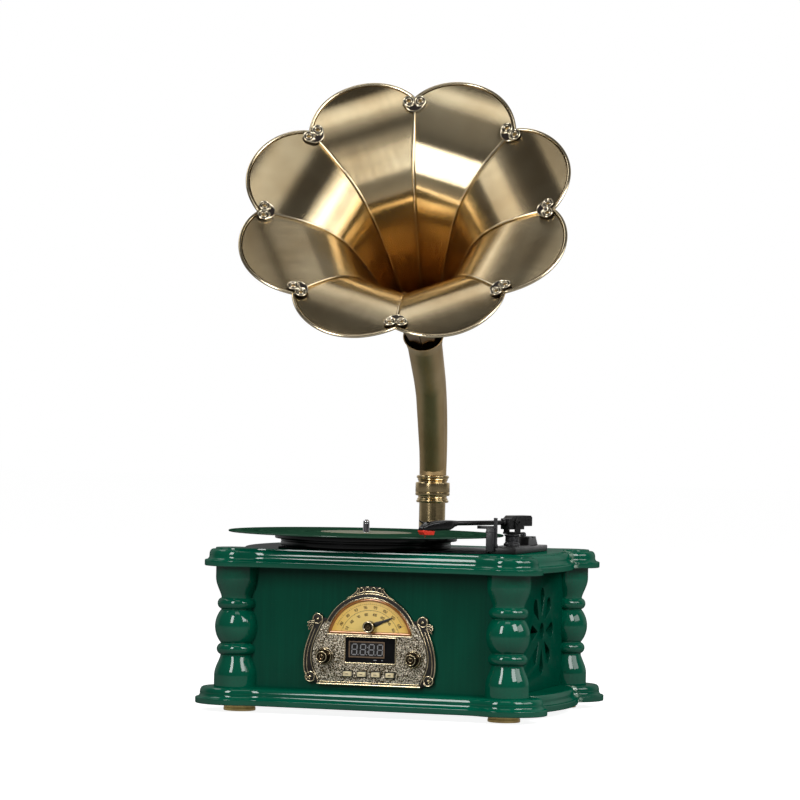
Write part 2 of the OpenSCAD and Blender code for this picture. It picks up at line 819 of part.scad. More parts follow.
module button_1() { button(1); }
module button_2() { button(2); }
module button_3() { button(3); }
module button_4() { button(4); }

amp_x = 10;
amp_y = -50;
amp_w = 110;
amp_d = 80;
amp_rise = 6;
heatsink_w = 60;
heatsink_d = 20;
heatsink_h = 26;
fin_count = 6;

module amplifier_board() {
    color([0.05, 0.30, 0.16]) translate([amp_x, amp_y, wall_z]) {
        translate([0, 0, amp_rise]) cube([amp_w, amp_d, board_t]);
        for (x = [5, amp_w - 5], y = [5, amp_d - 5]) translate([x, y, 0])
            cylinder(h = amp_rise, r = standoff_r);
        translate([25, 30, amp_rise + board_t]) cube([heatsink_w, 3, heatsink_h]);
        for (i = [0:fin_count - 1]) translate([25 + i * (heatsink_w - 2) / (fin_count - 1), 33,
            amp_rise + board_t])
            cube([2, heatsink_d, heatsink_h]);
        for (x = [20, 45, 70]) translate([x, 14, amp_rise + board_t]) cylinder(h = 16, r = 6);
    }
}

supply_x = -95;
supply_y = 10;
supply_w = 66;
supply_d = 54;
supply_h = 46;

module power_supply() {
    color([0.55, 0.55, 0.50]) translate([supply_x, supply_y, wall_z]) {
        cube([supply_w, supply_d, 3]);
        translate([8, 5, 3]) cube([supply_w - 16, supply_d - 10, supply_h - 6]);
        translate([14, 1, 10]) cube([supply_w - 28, supply_d - 2, supply_h - 20]);
    }
}

// The rear plate carries two line outputs, which stand out, and one input jack
module rear_jack_plate() {
    color([0.12, 0.12, 0.13]) difference() {
        union() {
            facing_front(cy + jack_plate_t, jack_plate_t)
                translate([jack_x - jack_plate_w / 2, wall_z + jack_z - jack_plate_h / 2])
                square([jack_plate_w, jack_plate_h]);
            for (i = [0, 1]) translate([jack_x + i * jack_pitch, cy + jack_plate_t + jack_out,
                wall_z + jack_z])
                rotate([90, 0, 0]) cylinder(h = jack_out + 1, r = jack_r);
            translate([jack_x - jack_pitch, cy + jack_plate_t + 2, wall_z + jack_z])
                rotate([90, 0, 0]) cylinder(h = 3, r = aux_nut_r);
            for (i = [-1:1]) translate([jack_x + i * jack_pitch, cy + 0.5, wall_z + jack_z])
                rotate([90, 0, 0]) cylinder(h = jack_body, r = jack_hole_r - 0.5);
        }
        for (i = [0, 1]) translate([jack_x + i * jack_pitch, cy + jack_plate_t + jack_out + 1,
            wall_z + jack_z])
            rotate([90, 0, 0]) cylinder(h = jack_out + 1, r = jack_pin_r);
        translate([jack_x - jack_pitch, cy + jack_plate_t + 3, wall_z + jack_z])
            rotate([90, 0, 0]) cylinder(h = jack_body + 1, r = aux_r);
        for (s = [-1, 1]) translate([jack_x + s * (jack_plate_w / 2 - 5), cy + 3, wall_z + jack_z])
            rotate([90, 0, 0]) cylinder(h = 4, r = screw_r);
    }
}

module power_inlet() {
    color([0.12, 0.12, 0.13]) translate([inlet_x, cy, wall_z + inlet_z])
        rotate([90, 0, 0]) difference() {
        union() {
            translate([0, 0, -2]) cylinder(h = 2, r = inlet_flange_r);
            cylinder(h = inlet_depth, r = inlet_r - seat);
        }
        difference() {
            translate([0, 0, -3]) cylinder(h = inlet_depth, r = inlet_bore_r);
            translate([0, 0, -2]) cylinder(h = inlet_depth + 1, r = inlet_pin_r);
        }
    }
}

// Heights of the turntable above the deck
hub_z = deck_z + bearing_flange_t + gap;
skirt_z = deck_z + platter_gap;
rim_z = skirt_z + skirt_h;
mat_z = rim_z + rim_h - mat_t;
record_z = mat_z + mat_t;
play_z = record_z + record_t;
web_t = 4;
web_z = mat_z - web_t;
rim_w = 3;
skirt_w = 2.5;
ring_w = 2;
hub_r = 10;
shaft_low_r = spindle_r + 0.2;

motor_r = 16;
motor_h = 24;
motor_plate_t = 2;
motor_plate_r = 20;
motor_shaft_r = 1;
pulley_h = 6;
pulley_z = deck_z + platter_gap + 0.8;

module drive_motor() {
    color(steel_col) translate([motor_x, motor_y, 0]) difference() {
        union() {
            translate([0, 0, top_z - motor_plate_t]) cylinder(h = motor_plate_t, r = motor_plate_r);
            translate([0, 0, top_z - motor_plate_t - motor_h]) cylinder(h = motor_h, r = motor_r);
            translate([0, 0, top_z]) cylinder(h = pulley_z + 3 - top_z, r = motor_shaft_r + 1.5);
        }
        translate([0, 0, pulley_z - 8]) cylinder(h = 30, r = motor_shaft_r + fit);
        translate([0, 0, pulley_z - gap]) cylinder(h = 30, r = motor_shaft_r + 3);
    }
}

belt_w = 4;

module motor_pulley() {
    color(brass_col) translate([motor_x, motor_y, 0]) {
        translate([0, 0, pulley_z]) rotate_extrude() polygon([[0, 0], [pulley_r + 1, 0],
            [pulley_r + 1, 0.6],
            [pulley_r, 0.9], [pulley_r, pulley_h - 0.9], [pulley_r + 1, pulley_h - 0.6],
            [pulley_r + 1, pulley_h], [0, pulley_h]]);
        translate([0, 0, pulley_z - 8 + gap]) cylinder(h = 8, r = motor_shaft_r);
    }
}

// A loop round two circles, the second one at a distance along +X
loop_steps = 60;

module loop_shape(r1, r2, distance) {
    a = acos((r1 - r2) / distance);
    polygon(concat(
        [for (i = [0:loop_steps]) let (t = a + (360 - 2 * a) * i / loop_steps) [r1 * cos(t),
            r1 * sin(t)]],
        [for (i = [0:loop_steps / 4]) let (t = -a + 2 * a * i / (loop_steps / 4))
            [distance + r2 * cos(t), r2 * sin(t)]]));
}

// The belt's gap to the pulley and ring that it drives
belt_gap = gap + 0.1;

module drive_belt() {
    color([0.09, 0.09, 0.09]) translate([spindle_x, spindle_y, pulley_z + (pulley_h - belt_w) / 2])
        rotate(motor_angle) linear_extrude(belt_w) difference() {
            loop_shape(drive_ring_r + belt_gap + belt_t, pulley_r + belt_gap + belt_t, motor_dist);
            loop_shape(drive_ring_r + belt_gap, pulley_r + belt_gap, motor_dist);
        }
}

module spindle_bearing() {
    color(brass_col) translate([spindle_x, spindle_y, 0]) difference() {
        union() {
            translate([0, 0, deck_z - bearing_len]) cylinder(h = bearing_len, r = bearing_r - seat);
            translate([0, 0, deck_z]) cylinder(h = bearing_flange_t, r = bearing_r + 3);
        }
        translate([0, 0, deck_z - bearing_len - 1]) cylinder(h = bearing_len + 3,
            r = shaft_low_r + fit);
    }
}

washer_t = 1.5;
spindle_dome = 3.6;

module spindle() {
    low = deck_z - bearing_len - gap - washer_t - 1;
    top = play_z + spindle_h;
    color(steel_col) translate([spindle_x, spindle_y, 0]) {
        rotate_extrude() polygon(concat([[0, low], [shaft_low_r, low], [shaft_low_r, play_z],
            [spindle_r, play_z]],
            [for (a = [0:15:75]) [spindle_r * cos(a), top - spindle_dome + spindle_dome * sin(a)]],
                [[0, top]]));
        translate([0, 0, low + 1]) cylinder(h = washer_t, r = shaft_low_r + 2);
    }
}

module platter() {
    color(black_col) translate([spindle_x, spindle_y, 0]) rotate_extrude() polygon([
        [shaft_low_r, hub_z], [hub_r, hub_z], [hub_r, web_z], [drive_ring_r - ring_w, web_z],
        [drive_ring_r - ring_w, skirt_z], [drive_ring_r, skirt_z], [drive_ring_r, web_z],
        [skirt_r - skirt_w, web_z], [skirt_r - skirt_w, skirt_z], [skirt_r - 0.8, skirt_z],
        [skirt_r, skirt_z + 0.8], [skirt_r, rim_z - 0.5], [skirt_r + 1.5, rim_z],
        [platter_r - 0.8, rim_z], [platter_r, rim_z + 0.8], [platter_r, record_z - 0.8],
        [platter_r - 0.8, record_z], [platter_r - rim_w, record_z], [platter_r - rim_w, mat_z],
        [shaft_low_r, mat_z]]);
}

module platter_mat() {
    color([0.12, 0.12, 0.12]) translate([spindle_x, spindle_y, mat_z]) difference() {
        cylinder(h = mat_t, r = platter_r - rim_w - 1);
        translate([0, 0, -1]) cylinder(h = mat_t + 2, r = shaft_low_r);
    }
}

module record() {
    color([0.10, 0.12, 0.10]) translate([spindle_x, spindle_y, 0]) rotate_extrude() polygon([
        [shaft_low_r, record_z], [label_r + 2, record_z], [label_r + 4, record_z + 0.3],
        [record_r - 5, record_z + 0.3], [record_r - 3, record_z], [record_r - 0.8, record_z],
        [record_r, record_z + 0.6], [record_r, play_z - 0.6], [record_r - 0.8, play_z],
        [record_r - 3, play_z], [record_r - 5, play_z - 0.3], [label_r + 4, play_z - 0.3],
        [label_r + 2, play_z], [shaft_low_r, play_z]]);
}

// The tonearm, in its own frame: the pivot at the origin, +X along the parked arm
tube_z = deck_z + arm_z;
module arm_frame() {
    translate([arm_x, arm_y, tube_z]) rotate([0, 0, -90 - arm_park]) children();
}

base_x0 = arm_x - 12;
base_y0 = arm_y - 51;
base_top = deck_z + arm_base_t;
console_len = 40;
console_w = 18;
console_x = (arm_base_w - console_w) / 2;
console_y = arm_y + 24;
console_h = 10;
slot_w = 4;
slot_travel = 12;
lever_r = 1.6;

module arm_base() {
    color(black_col) difference() {
        union() {
            translate([base_x0, base_y0, deck_z]) cube([arm_base_w, arm_base_len, arm_base_t]);
            translate([base_x0 + console_x + console_w, console_y, base_top]) rotate([0, -90, 0])
                linear_extrude(console_w)
                polygon([[0, 0], [console_h, 3], [console_h, console_len - 10], [0, console_len]]);
        }
        translate([arm_x, arm_y, deck_z + 2]) cylinder(h = arm_base_t, r = post_foot_r);
        translate([lever_x - slot_w / 2, selector_y - slot_travel / 2 - lever_r - 1, base_top + 1])
            cube([slot_w, slot_travel + 2 * lever_r + 2, console_h + 1]);
    }
}

selector_y = console_y + 16;
lever_x = base_x0 + console_x + console_w / 2;

module speed_selector() {
    stand = 1 + gap;
    color([0.2, 0.2, 0.21]) translate([lever_x, selector_y - slot_travel / 2, base_top]) {
        translate([0, 0, stand]) cylinder(h = console_h - stand + 5, r = lever_r);
        translate([0, 0, console_h + gap]) cylinder(h = 4, r = 3.4);
    }
}

post_foot_r = 9;
post_top = tube_z - 13;
swing_shaft_r = 3;

module arm_pivot_post() {
    color([0.16, 0.16, 0.17]) translate([arm_x, arm_y, 0]) difference() {
        rotate_extrude() polygon([[0, deck_z + 2], [post_foot_r, deck_z + 2],
            [post_foot_r, base_top + 3],
            [7.5, base_top + 4.5], [7.5, post_top - 4], [8.5, post_top - 3], [8.5, post_top],
                [0, post_top]]);
        translate([0, 0, deck_z + 4]) cylinder(h = 60, r = swing_shaft_r + fit);
    }
}

ear_t = 2.2;
arm_block_w = 13;
lift_pin_r = 1.5;
yoke_floor = 2.5;
yoke_half = 5;
ear_half = 4;
ear_h = 4.5;

// The yoke turns on the post and carries the arm on a cross pin
module arm_yoke() {
    ear_in = arm_block_w / 2 + gap;
    color([0.10, 0.10, 0.11]) arm_frame() difference() {
        union() {
            translate([-yoke_half, -ear_in - ear_t, post_top - tube_z + gap])
                cube([2 * yoke_half, 2 * (ear_in + ear_t), yoke_floor]);
            translate([0, 0, deck_z + 4 + gap - tube_z])
                cylinder(h = post_top - deck_z - 4, r = swing_shaft_r);
            for (s = [-1, 1]) translate([-ear_half, s > 0 ? ear_in
                : -ear_in - ear_t, post_top - tube_z + gap])
                cube([2 * ear_half, ear_t, ear_h - post_top + tube_z - gap]);
        }
        rotate([90, 0, 0]) translate([0, 0, -20]) cylinder(h = 40, r = lift_pin_r + fit);
    }
}

block_front = 12;
block_low = -7.4;

// The block on the arm: a chamfered box along the arm, with the cross pin
module arm_rear_block() {
    top = block_low + rear_h;
    color(black_col) arm_frame() difference() {
        union() {
            translate([0, arm_block_w / 2, 0]) rotate([90, 0, 0]) linear_extrude(arm_block_w)
                polygon([[-rear_len, block_low], [block_front, block_low], [block_front, 5],
                    [block_front - 4, top - 3], [block_front - 8, top], [-rear_len + 2, top],
                    [-rear_len, top - 2]]);
            rotate([90, 0, 0]) translate([0, 0, -arm_block_w / 2 - gap - ear_t])
                cylinder(h = arm_block_w + 2 * gap + 2 * ear_t, r = lift_pin_r);
        }
        translate([block_front - 6, 0, 0]) rotate([0, 90, 0]) cylinder(h = 20, r = arm_tube_r);
        translate([-rear_len - 1, -arm_block_w, block_low - 1])
            cube([rear_len - 12, 2 * arm_block_w, 4.5]);
    }
}

shell_back = arm_len - headshell_len + 5;

module arm_tube() {
    color(black_col) arm_frame() translate([block_front - 6, 0, 0]) rotate([0, 90, 0])
        cylinder(h = shell_back + 8 - block_front + 6, r = arm_tube_r);
}

shell_low = -7.5;
shell_high = 3.5;
stylus_z = play_z - tube_z + gap;

// The headshell is wedge-shaped, with its flat underside over the cartridge
module headshell() {
    w = headshell_w / 2;
    front = arm_len + 5;
    color(black_col) arm_frame() difference() {
        intersection() {
            translate([0, w, 0]) rotate([90, 0, 0]) linear_extrude(headshell_w)
                polygon([[shell_back, -arm_tube_r - 0.8], [shell_back + 12, shell_low],
                    [front - 1, shell_low],
                    [front, shell_low + 1.5], [front - 8, 1.5], [shell_back + 14, shell_high],
                    [shell_back, arm_tube_r + 0.4]]);
            translate([0, 0, -20]) linear_extrude(40)
                polygon([[shell_back, -w * 0.62], [shell_back + 14, -w], [front - 10, -w],
                    [front, -w * 0.5],
                    [front, w * 0.5], [front - 10, w], [shell_back + 14, w], [shell_back, w * 0.62]]);
        }
        translate([0, 0, 0]) rotate([0, 90, 0]) cylinder(h = shell_back + 8, r = arm_tube_r);
    }
}

module cartridge() {
    low = stylus_z + 1.2;
    color([0.75, 0.12, 0.08]) arm_frame() {
        translate([0, 4, 0]) rotate([90, 0, 0]) linear_extrude(8)
            polygon([[arm_len - 16, shell_low], [arm_len - 13, low + 1.5], [arm_len - 2, low],
                [arm_len + 4, shell_low - 0.6], [arm_len + 4, shell_low]]);
        translate([arm_len - 1, 0, stylus_z]) cylinder(h = 2, r = 0.4);
    }
}

// The rest stands at the front inner corner of the base plate. A tongue
// reaches from its block to under the parked tube.
rest_w = 8.2;
rest_d = 8.5;
rest_in = 1.8;
rest_out = 5;
rest_drop = 4.9;
rest_post_r = 2.2;
rest_post_h = 6;
tongue_d = 4.5;

module arm_rest() {
    x0 = base_x0 - rest_in;
    y0 = base_y0 - rest_out;
    tube_low = tube_z - arm_tube_r - gap;
    mid_y0 = y0 + rest_d + tongue_d / 2;
    tube_x = arm_x - (arm_y - mid_y0) * tan(arm_park);
    color([0.18, 0.18, 0.19]) {
        difference() {
            translate([x0, y0, base_top - 4]) cube([rest_w, rest_d, tube_z - rest_drop - base_top + 4]);
            translate([base_x0, base_y0, base_top - 5]) cube([20, 20, 5]);
        }
        translate([tube_x - 4, y0 + rest_d - 0.6, tube_low - 3.4])
            cube([x0 + rest_w - tube_x + 4, tongue_d + 0.6, 3.4]);
        translate([base_x0 + 6.5, base_y0 + 3.5, base_top])
            cylinder(h = tube_z + rest_post_h - base_top, r = rest_post_r);
    }
}

// The pipe
collar_z = deck_z + pipe_h;
collar_top = collar_z + collar_h;
bore_r = pipe_r - 1.3;
sleeve_z = collar_z + 8;

module lower_pipe() {
    color(brass_col) translate([pipe_x, pipe_y, 0]) difference() {
        rotate_extrude() polygon([[bore_r, deck_z], [flange_r, deck_z],
            [flange_r, deck_z + flange_t - 0.8],
            [flange_r - 0.8, deck_z + flange_t], [pipe_r, deck_z + flange_t], [pipe_r, sleeve_z],
            [bore_r, sleeve_z]]);
        for (k = [0:2]) rotate(30 + k * 120) translate([flange_screw_r, 0, deck_z - 1])
            cylinder(h = flange_t + 2, r = screw_r);
    }
}

ring_out = pipe_r + 3.5;

module pipe_collar() {
    h = collar_h / 31;
    color(brass_col) translate([pipe_x, pipe_y, collar_z]) rotate_extrude() polygon([
        [pipe_r + seat / 2, 0], [ring_out - 0.8, 0], [ring_out, 0.8], [ring_out, 5.2 * h],
            [ring_out - 1.2, 6 * h],
        [pipe_r + 1.4, 7 * h], [pipe_r + 1.4, 8 * h], [collar_r - 0.8, 8 * h], [collar_r, 8.8 * h],
        [collar_r, 22.2 * h], [collar_r - 0.8, 23 * h], [pipe_r + 1.4, 23 * h], [pipe_r + 1.4, 24 * h],
        [ring_out - 1.2, 25 * h], [ring_out, 26 * h], [ring_out, collar_h - 0.8],
            [ring_out - 0.8, collar_h],
        [bore_r, collar_h], [bore_r, 8], [pipe_r + seat / 2, 8]]);
}

spigot_r = bore_r - fit;
spigot_low = 26;
spigot_high = 6;
bend_start = 6.5;

module pipe_spigot() {
    color(brass_col) translate([pipe_x, pipe_y, collar_z - spigot_low]) difference() {
        cylinder(h = spigot_low + collar_h + spigot_high, r = spigot_r);
        translate([0, 0, -1]) cylinder(h = 200, r = spigot_r - pipe_wall);
    }
}

// The bent pipe: stations of [distance ahead, height, tilt] along its centre line
bend_total = 90 - horn_el;
elbow_foot = collar_top + gap;
bend_steps = 14;
mouth_band = 14;
elbow_path = concat(
    [[0, 0, 0]],
    [for (i = [0:bend_steps]) let (a = bend_total * i / bend_steps)
        [bend_r * (1 - cos(a)), bend_start + bend_r * sin(a), a]],
    [for (t = [bend_run / 2, bend_run - mouth_band, bend_run - mouth_band, bend_run])
        [bend_r * (1 - cos(bend_total)) + t * sin(bend_total),
         bend_start + bend_r * sin(bend_total) + t * cos(bend_total), bend_total]]);
elbow_n = len(elbow_path);
foot_r = pipe_r + 0.4;
band_step = 0.6;
// Outer radius along the elbow, and the flared band at its mouth
function pipe_line_r(i) =
    foot_r + (pipe_end_r - foot_r) * max(0, min(1, (i - 1) / (elbow_n - 4)));
function elbow_r(i) = i == elbow_n - 1 ? mouth_r : pipe_line_r(i) + (i == elbow_n - 2 ? band_step : 0);
function elbow_in_r(i) = i == elbow_n - 1 ? mouth_r - pipe_wall : pipe_line_r(i) - pipe_wall + 0.05;
elbow_sides = 24;

// A ring of points about one station of the elbow
function elbow_ring(i, r) =
    let (s = elbow_path[i])
    [for (k = [0:elbow_sides - 1]) let (u = r * cos(360 * k / elbow_sides),
        v = r * sin(360 * k / elbow_sides))
        [u, -s[0] - v * cos(s[2]), s[1] - v * sin(s[2])]];

module elbow_pipe() {
    outer = [for (i = [0:elbow_n - 1]) each elbow_ring(i, elbow_r(i))];
    inner = [for (i = [0:elbow_n - 1]) each elbow_ring(i, elbow_in_r(i))];
    n = elbow_sides;
    off = len(outer);
    last = (elbow_n - 1) * n;
    skin = [for (i = [0:elbow_n - 2]) for (k = [0:n - 1]) let (j = (k + 1) % n)
        [i * n + k, i * n + j, (i + 1) * n + j, (i + 1) * n + k]];
    core = [for (i = [0:elbow_n - 2]) for (k = [0:n - 1]) let (j = (k + 1) % n)
        [off + i * n + k, off + (i + 1) * n + k, off + (i + 1) * n + j, off + i * n + j]];
    foot = [for (k = [0:n - 1]) let (j = (k + 1) % n) [k, off + k, off + j, j]];
    mouth = [for (k = [0:n - 1]) let (j = (k + 1) % n) [last + k, last + j, off + last + j,
        off + last + k]];
    color(brass_col) translate([pipe_x, pipe_y, elbow_foot]) rotate([0, 0, horn_az])
        polyhedron(points = concat(outer, inner), faces = concat(skin, core, foot, mouth),
            convexity = 6);
}

// The horn, in its own frame: +Z along its axis, the valleys of its edge at z = 0
mouth_reach = elbow_path[elbow_n - 1][0];
mouth_rise = elbow_path[elbow_n - 1][1];
horn_reach = mouth_reach + horn_len * cos(horn_el);
horn_at = [pipe_x + horn_reach * sin(horn_az), pipe_y - horn_reach * cos(horn_az),
    elbow_foot + mouth_rise + horn_len * sin(horn_el)];
petals = 8;
half_turn = 180 / petals;

module horn_frame() {
    translate(horn_at) rotate([90 - horn_el, 0, horn_az]) rotate([0, 0, 90 + petal_turn]) children();
}

// Profile of one petal along its middle: distance from the axis and height.
// Up to the valleys it is the flare; past them it levels out into the lobe.
valley_in = valley_r * cos(half_turn);
valley_half = valley_r * sin(half_turn);
lobe_c = valley_in - sqrt(pow(lobe_edge_r, 2) - pow(valley_half, 2));
lobe_tip = lobe_c + lobe_edge_r;
cone_power = 1.1;
edge_slope = horn_len / (cone_power * (cone_r - throat_r) + flare * (valley_r - cone_r)) / cos(half_turn);
lobe_run = lobe_tip - valley_in;
flare_steps = 14;
lobe_steps_edge = 8;
lobe_start = acos((valley_in - lobe_c) / lobe_edge_r);
lobe_end = 3;
petal_gap = 0.05;
// Stations lie closer together near the edge, where the horn opens
function flare_t(i) = 1 - pow(1 - i / flare_steps, 1.6);
function flare_r(t) = cos(half_turn)
    * (throat_r + (cone_r - throat_r) * pow(t, cone_power) + (valley_r - cone_r) * pow(t, flare));
function lobe_rise(r) = let (x = r - valley_in)
    edge_slope * x - (edge_slope * lobe_run - tip_rise) * pow(x / lobe_run, 2);
function lobe_angle(i) = lobe_start + (lobe_end - lobe_start) * i / lobe_steps_edge;
petal_line = concat(
    [for (i = [0:flare_steps]) let (t = flare_t(i)) [flare_r(t), -horn_len * (1 - t)]],
    [for (i = [1:lobe_steps_edge]) let (r = lobe_c + lobe_edge_r * cos(lobe_angle(i))) [r,
        lobe_rise(r)]]);
petal_n = len(petal_line);
// Direction away from the petal's hollow side at a station
function petal_normal(i) =
    let (a = petal_line[max(i - 1, 0)], b = petal_line[min(i + 1, petal_n - 1)], d = b - a)
    [d[1], -d[0]] / norm(d);
function petal_half(i, r) = i <= flare_steps ? r * tan(half_turn) - petal_gap
    : lobe_edge_r * sin(lobe_angle(i - flare_steps));

// One petal: a sheet that bends one way only, between two seams
module petal() {
    front = [for (i = [0:petal_n - 1]) let (p = petal_line[i], w = petal_half(i, p[0]))
        each [[p[0], -w, p[1]], [p[0], w, p[1]]]];
    back = [for (i = [0:petal_n - 1])
        let (p = petal_line[i] + sheet_t * petal_normal(i), w = petal_half(i, p[0]))
        each [[p[0], -w, p[1]], [p[0], w, p[1]]]];
    off = 2 * petal_n;
    last = 2 * (petal_n - 1);
    strips = [for (i = [0:petal_n - 2]) let (a = 2 * i)
        each [[a, a + 2, a + 3, a + 1], [off + a, off + a + 1, off + a + 3, off + a + 2],
            [a, off + a, off + a + 2, a + 2], [a + 1, a + 3, off + a + 3, off + a + 1]]];
    ends = [[0, 1, off + 1, off], [last, off + last, off + last + 1, last + 1]];
    polyhedron(points = concat(front, back), faces = [for (f = concat(strips, ends)) reversed(f)],
        convexity = 4);
}

module horn_petals() {
    color(brass_col) horn_frame() for (k = [0:petals - 1]) rotate([0, 0,
        half_turn + k * 360 / petals]) petal();
}

// A closed or open tube through rings of points
module tube_mesh(rings, closed) {
    n = len(rings[0]);
    m = len(rings);
    spans = closed ? m - 1 : m - 2;
    walls = [for (i = [0:spans]) for (k = [0:n - 1]) let (j = (k + 1) % n, i2 = (i + 1) % m)
        [i * n + k, i * n + j, i2 * n + j, i2 * n + k]];
    caps = closed ? [] : [[for (k = [n - 1:-1:0]) k], [for (k = [0:n - 1]) (m - 1) * n + k]];
    polyhedron(points = [for (ring = rings) each ring], faces = concat(walls, caps), convexity = 6);
}

// The rolled edge follows the lobes; its middle lies one bead radius outside
rim_steps = 6;
rim_sides = 6;
rim_line_r = lobe_edge_r + bead_r + gap;
rim_start = half_turn + asin(lobe_c * sin(half_turn) / rim_line_r);
function rim_point(k, a) =
    let (m = half_turn + k * 360 / petals, r = lobe_c + rim_line_r * cos(a), w = rim_line_r * sin(a))
    [r * cos(m) - w * sin(m), r * sin(m) + w * cos(m), lobe_rise(min(r, lobe_tip))];
function rim_out(k, a) =
    let (m = half_turn + k * 360 / petals, b = abs(a) >= rim_start - 0.01 ? sign(a) * half_turn : a)
    [cos(m + b), sin(m + b), 0];

module horn_rim() {
    rings = [for (k = [0:petals - 1]) for (i = [0:2 * rim_steps - 1])
        let (a = -rim_start + rim_start * i / rim_steps, c = rim_point(k, a), u = rim_out(k, a))
        [for (j = [0:rim_sides - 1]) let (t = 360 * j / rim_sides)
            c + bead_r * cos(t) * u + [0, 0, bead_r * sin(t)]]];
    color(brass_col) horn_frame() tube_mesh(rings, true);
}

// A raised seam along the joint of two petals, on the horn's hollow side
seam_sides = 6;
seam_first = 1;
module seam() {
    rings = [for (i = [seam_first:flare_steps])
        let (t = flare_t(i), r = flare_r(t) / cos(half_turn), n = petal_normal(i),
             lift = (seam_r + seat) / cos(half_turn),
             c = [r - lift * n[0], 0, -horn_len * (1 - t) - lift * n[1]])
        [for (j = [0:seam_sides - 1]) let (a = 360 * j / seam_sides)
            c + seam_r * (cos(a) * [n[0], 0, n[1]] + sin(a) * [0, 1, 0])]];
    tube_mesh([for (ring = rings) reversed(ring)], false);
}

module horn_seams() {
    color(brass_col) horn_frame() for (k = [0:petals - 1]) rotate([0, 0, k * 360 / petals]) seam();
}

// Round clips with two coils each, inside the valleys of the edge
clip_in = 5.4;

module clip() {
    coil = clip_half_w * 0.5;
    tilt = atan(edge_slope * cos(half_turn));
    translate([valley_r, 0, 0]) rotate([0, -tilt, 0]) translate([-clip_in, 0, 2 * seam_r + 2 * gap])
        linear_extrude(clip_t) union() {
            for (s = [-1, 1]) translate([clip_half_h - coil, s * (clip_half_w - coil)])
                circle(r = coil, $fn = 24);
            scale([1, 0.95]) circle(r = clip_half_h - 1, $fn = 32);
        }
}

module horn_clips() {
    color(brass_col) horn_frame() for (k = [0:petals - 1]) rotate([0, 0, k * 360 / petals]) clip();
}

// The horn's neck goes into the mouth of the bent pipe
neck_in = 20;
neck_ring_h = 8;
neck_drop = 0.45;
neck_r = pipe_end_r - pipe_wall - 0.25;

module horn_neck() {
    color(brass_col) horn_frame() translate([0, 0, -horn_len - neck_in - neck_drop]) difference() {
        union() {
            cylinder(h = neck_ring_h, r = neck_r);
            translate([0, 0, neck_ring_h]) cylinder(h = neck_in - neck_ring_h,
                r = throat_r + sheet_t, $fn = petals);
        }
        translate([0, 0, -1]) cylinder(h = neck_in + 2, r = throat_r - 1.5);
    }
}

// The object's box: the boards on the left and at the back, the horn elsewhere
function rim_world(k, a) =
    let (m = half_turn + k * 360 / petals + 90 + petal_turn,
         r = lobe_c + rim_line_r * cos(a), w = rim_line_r * sin(a),
         x = r * cos(m) - w * sin(m), y = r * sin(m) + w * cos(m),
         z = lobe_rise(min(r, lobe_tip)), v = -y * sin(horn_el) + z * cos(horn_el))
    [horn_at[0] + x * cos(horn_az) + v * sin(horn_az),
        horn_at[1] + x * sin(horn_az) - v * cos(horn_az)];
rim_cloud = [for (k = [0:petals - 1]) for (a = [-rim_start:3:rim_start]) rim_world(k, a)];
board_x = cx + base_over;
board_y_max = cy + base_over;
box_x0 = min(-board_x, min([for (p = rim_cloud) p[0]]) - bead_r);
box_x1 = max(board_x, max([for (p = rim_cloud) p[0]]) + bead_r);
box_y0 = min(-board_y_max, min([for (p = rim_cloud) p[1]]) - bead_r);
box_y1 = max(board_y_max, max([for (p = rim_cloud) p[1]]) + bead_r);
shift = [-(box_x0 + box_x1) / 2, -(box_y0 + box_y1) / 2, 0];

module place() {
    translate(shift) children();
}

place() base_board();
place() top_board();
place() front_panel();
place() back_panel();
place() left_panel();
place() right_panel();
place() column_front_left();
place() column_front_right();
place() column_back_left();
place() column_back_right();
place() feet();
place() screws();
place() speaker_cloths();
place() left_speaker();
place() right_speaker();
place() fascia();
place() dial_plate();
place() dial_pointer();
place() tuning_knob();
place() display_window();
place() display_module();
place() volume_knob();
place() mode_knob();
place() button_1();
place() button_2();
place() button_3();
place() button_4();
place() control_board();
place() rotary_controls();
place() tuning_capacitor();
place() amplifier_board();
place() power_supply();
place() rear_jack_plate();
place() power_inlet();
place() drive_motor();
place() motor_pulley();
place() drive_belt();
place() spindle_bearing();
place() spindle();
place() platter();
place() platter_mat();
place() record();
place() arm_base();
place() arm_rest();
place() arm_pivot_post();
place() arm_yoke();
place() arm_tube();
place() arm_rear_block();
place() headshell();
place() cartridge();
place() speed_selector();
place() lower_pipe();
place() pipe_collar();
place() pipe_spigot();
place() elbow_pipe();
place() horn_neck();
place() horn_petals();
place() horn_rim();
place() horn_seams();
place() horn_clips();
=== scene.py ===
from math import (acos, asin, atan, atan2, copysign, cos, degrees, hypot, pi,
                  radians as rad, sin, sqrt, tan, tau as TAU)

import bmesh
import bpy
from mathutils import Matrix, Vector


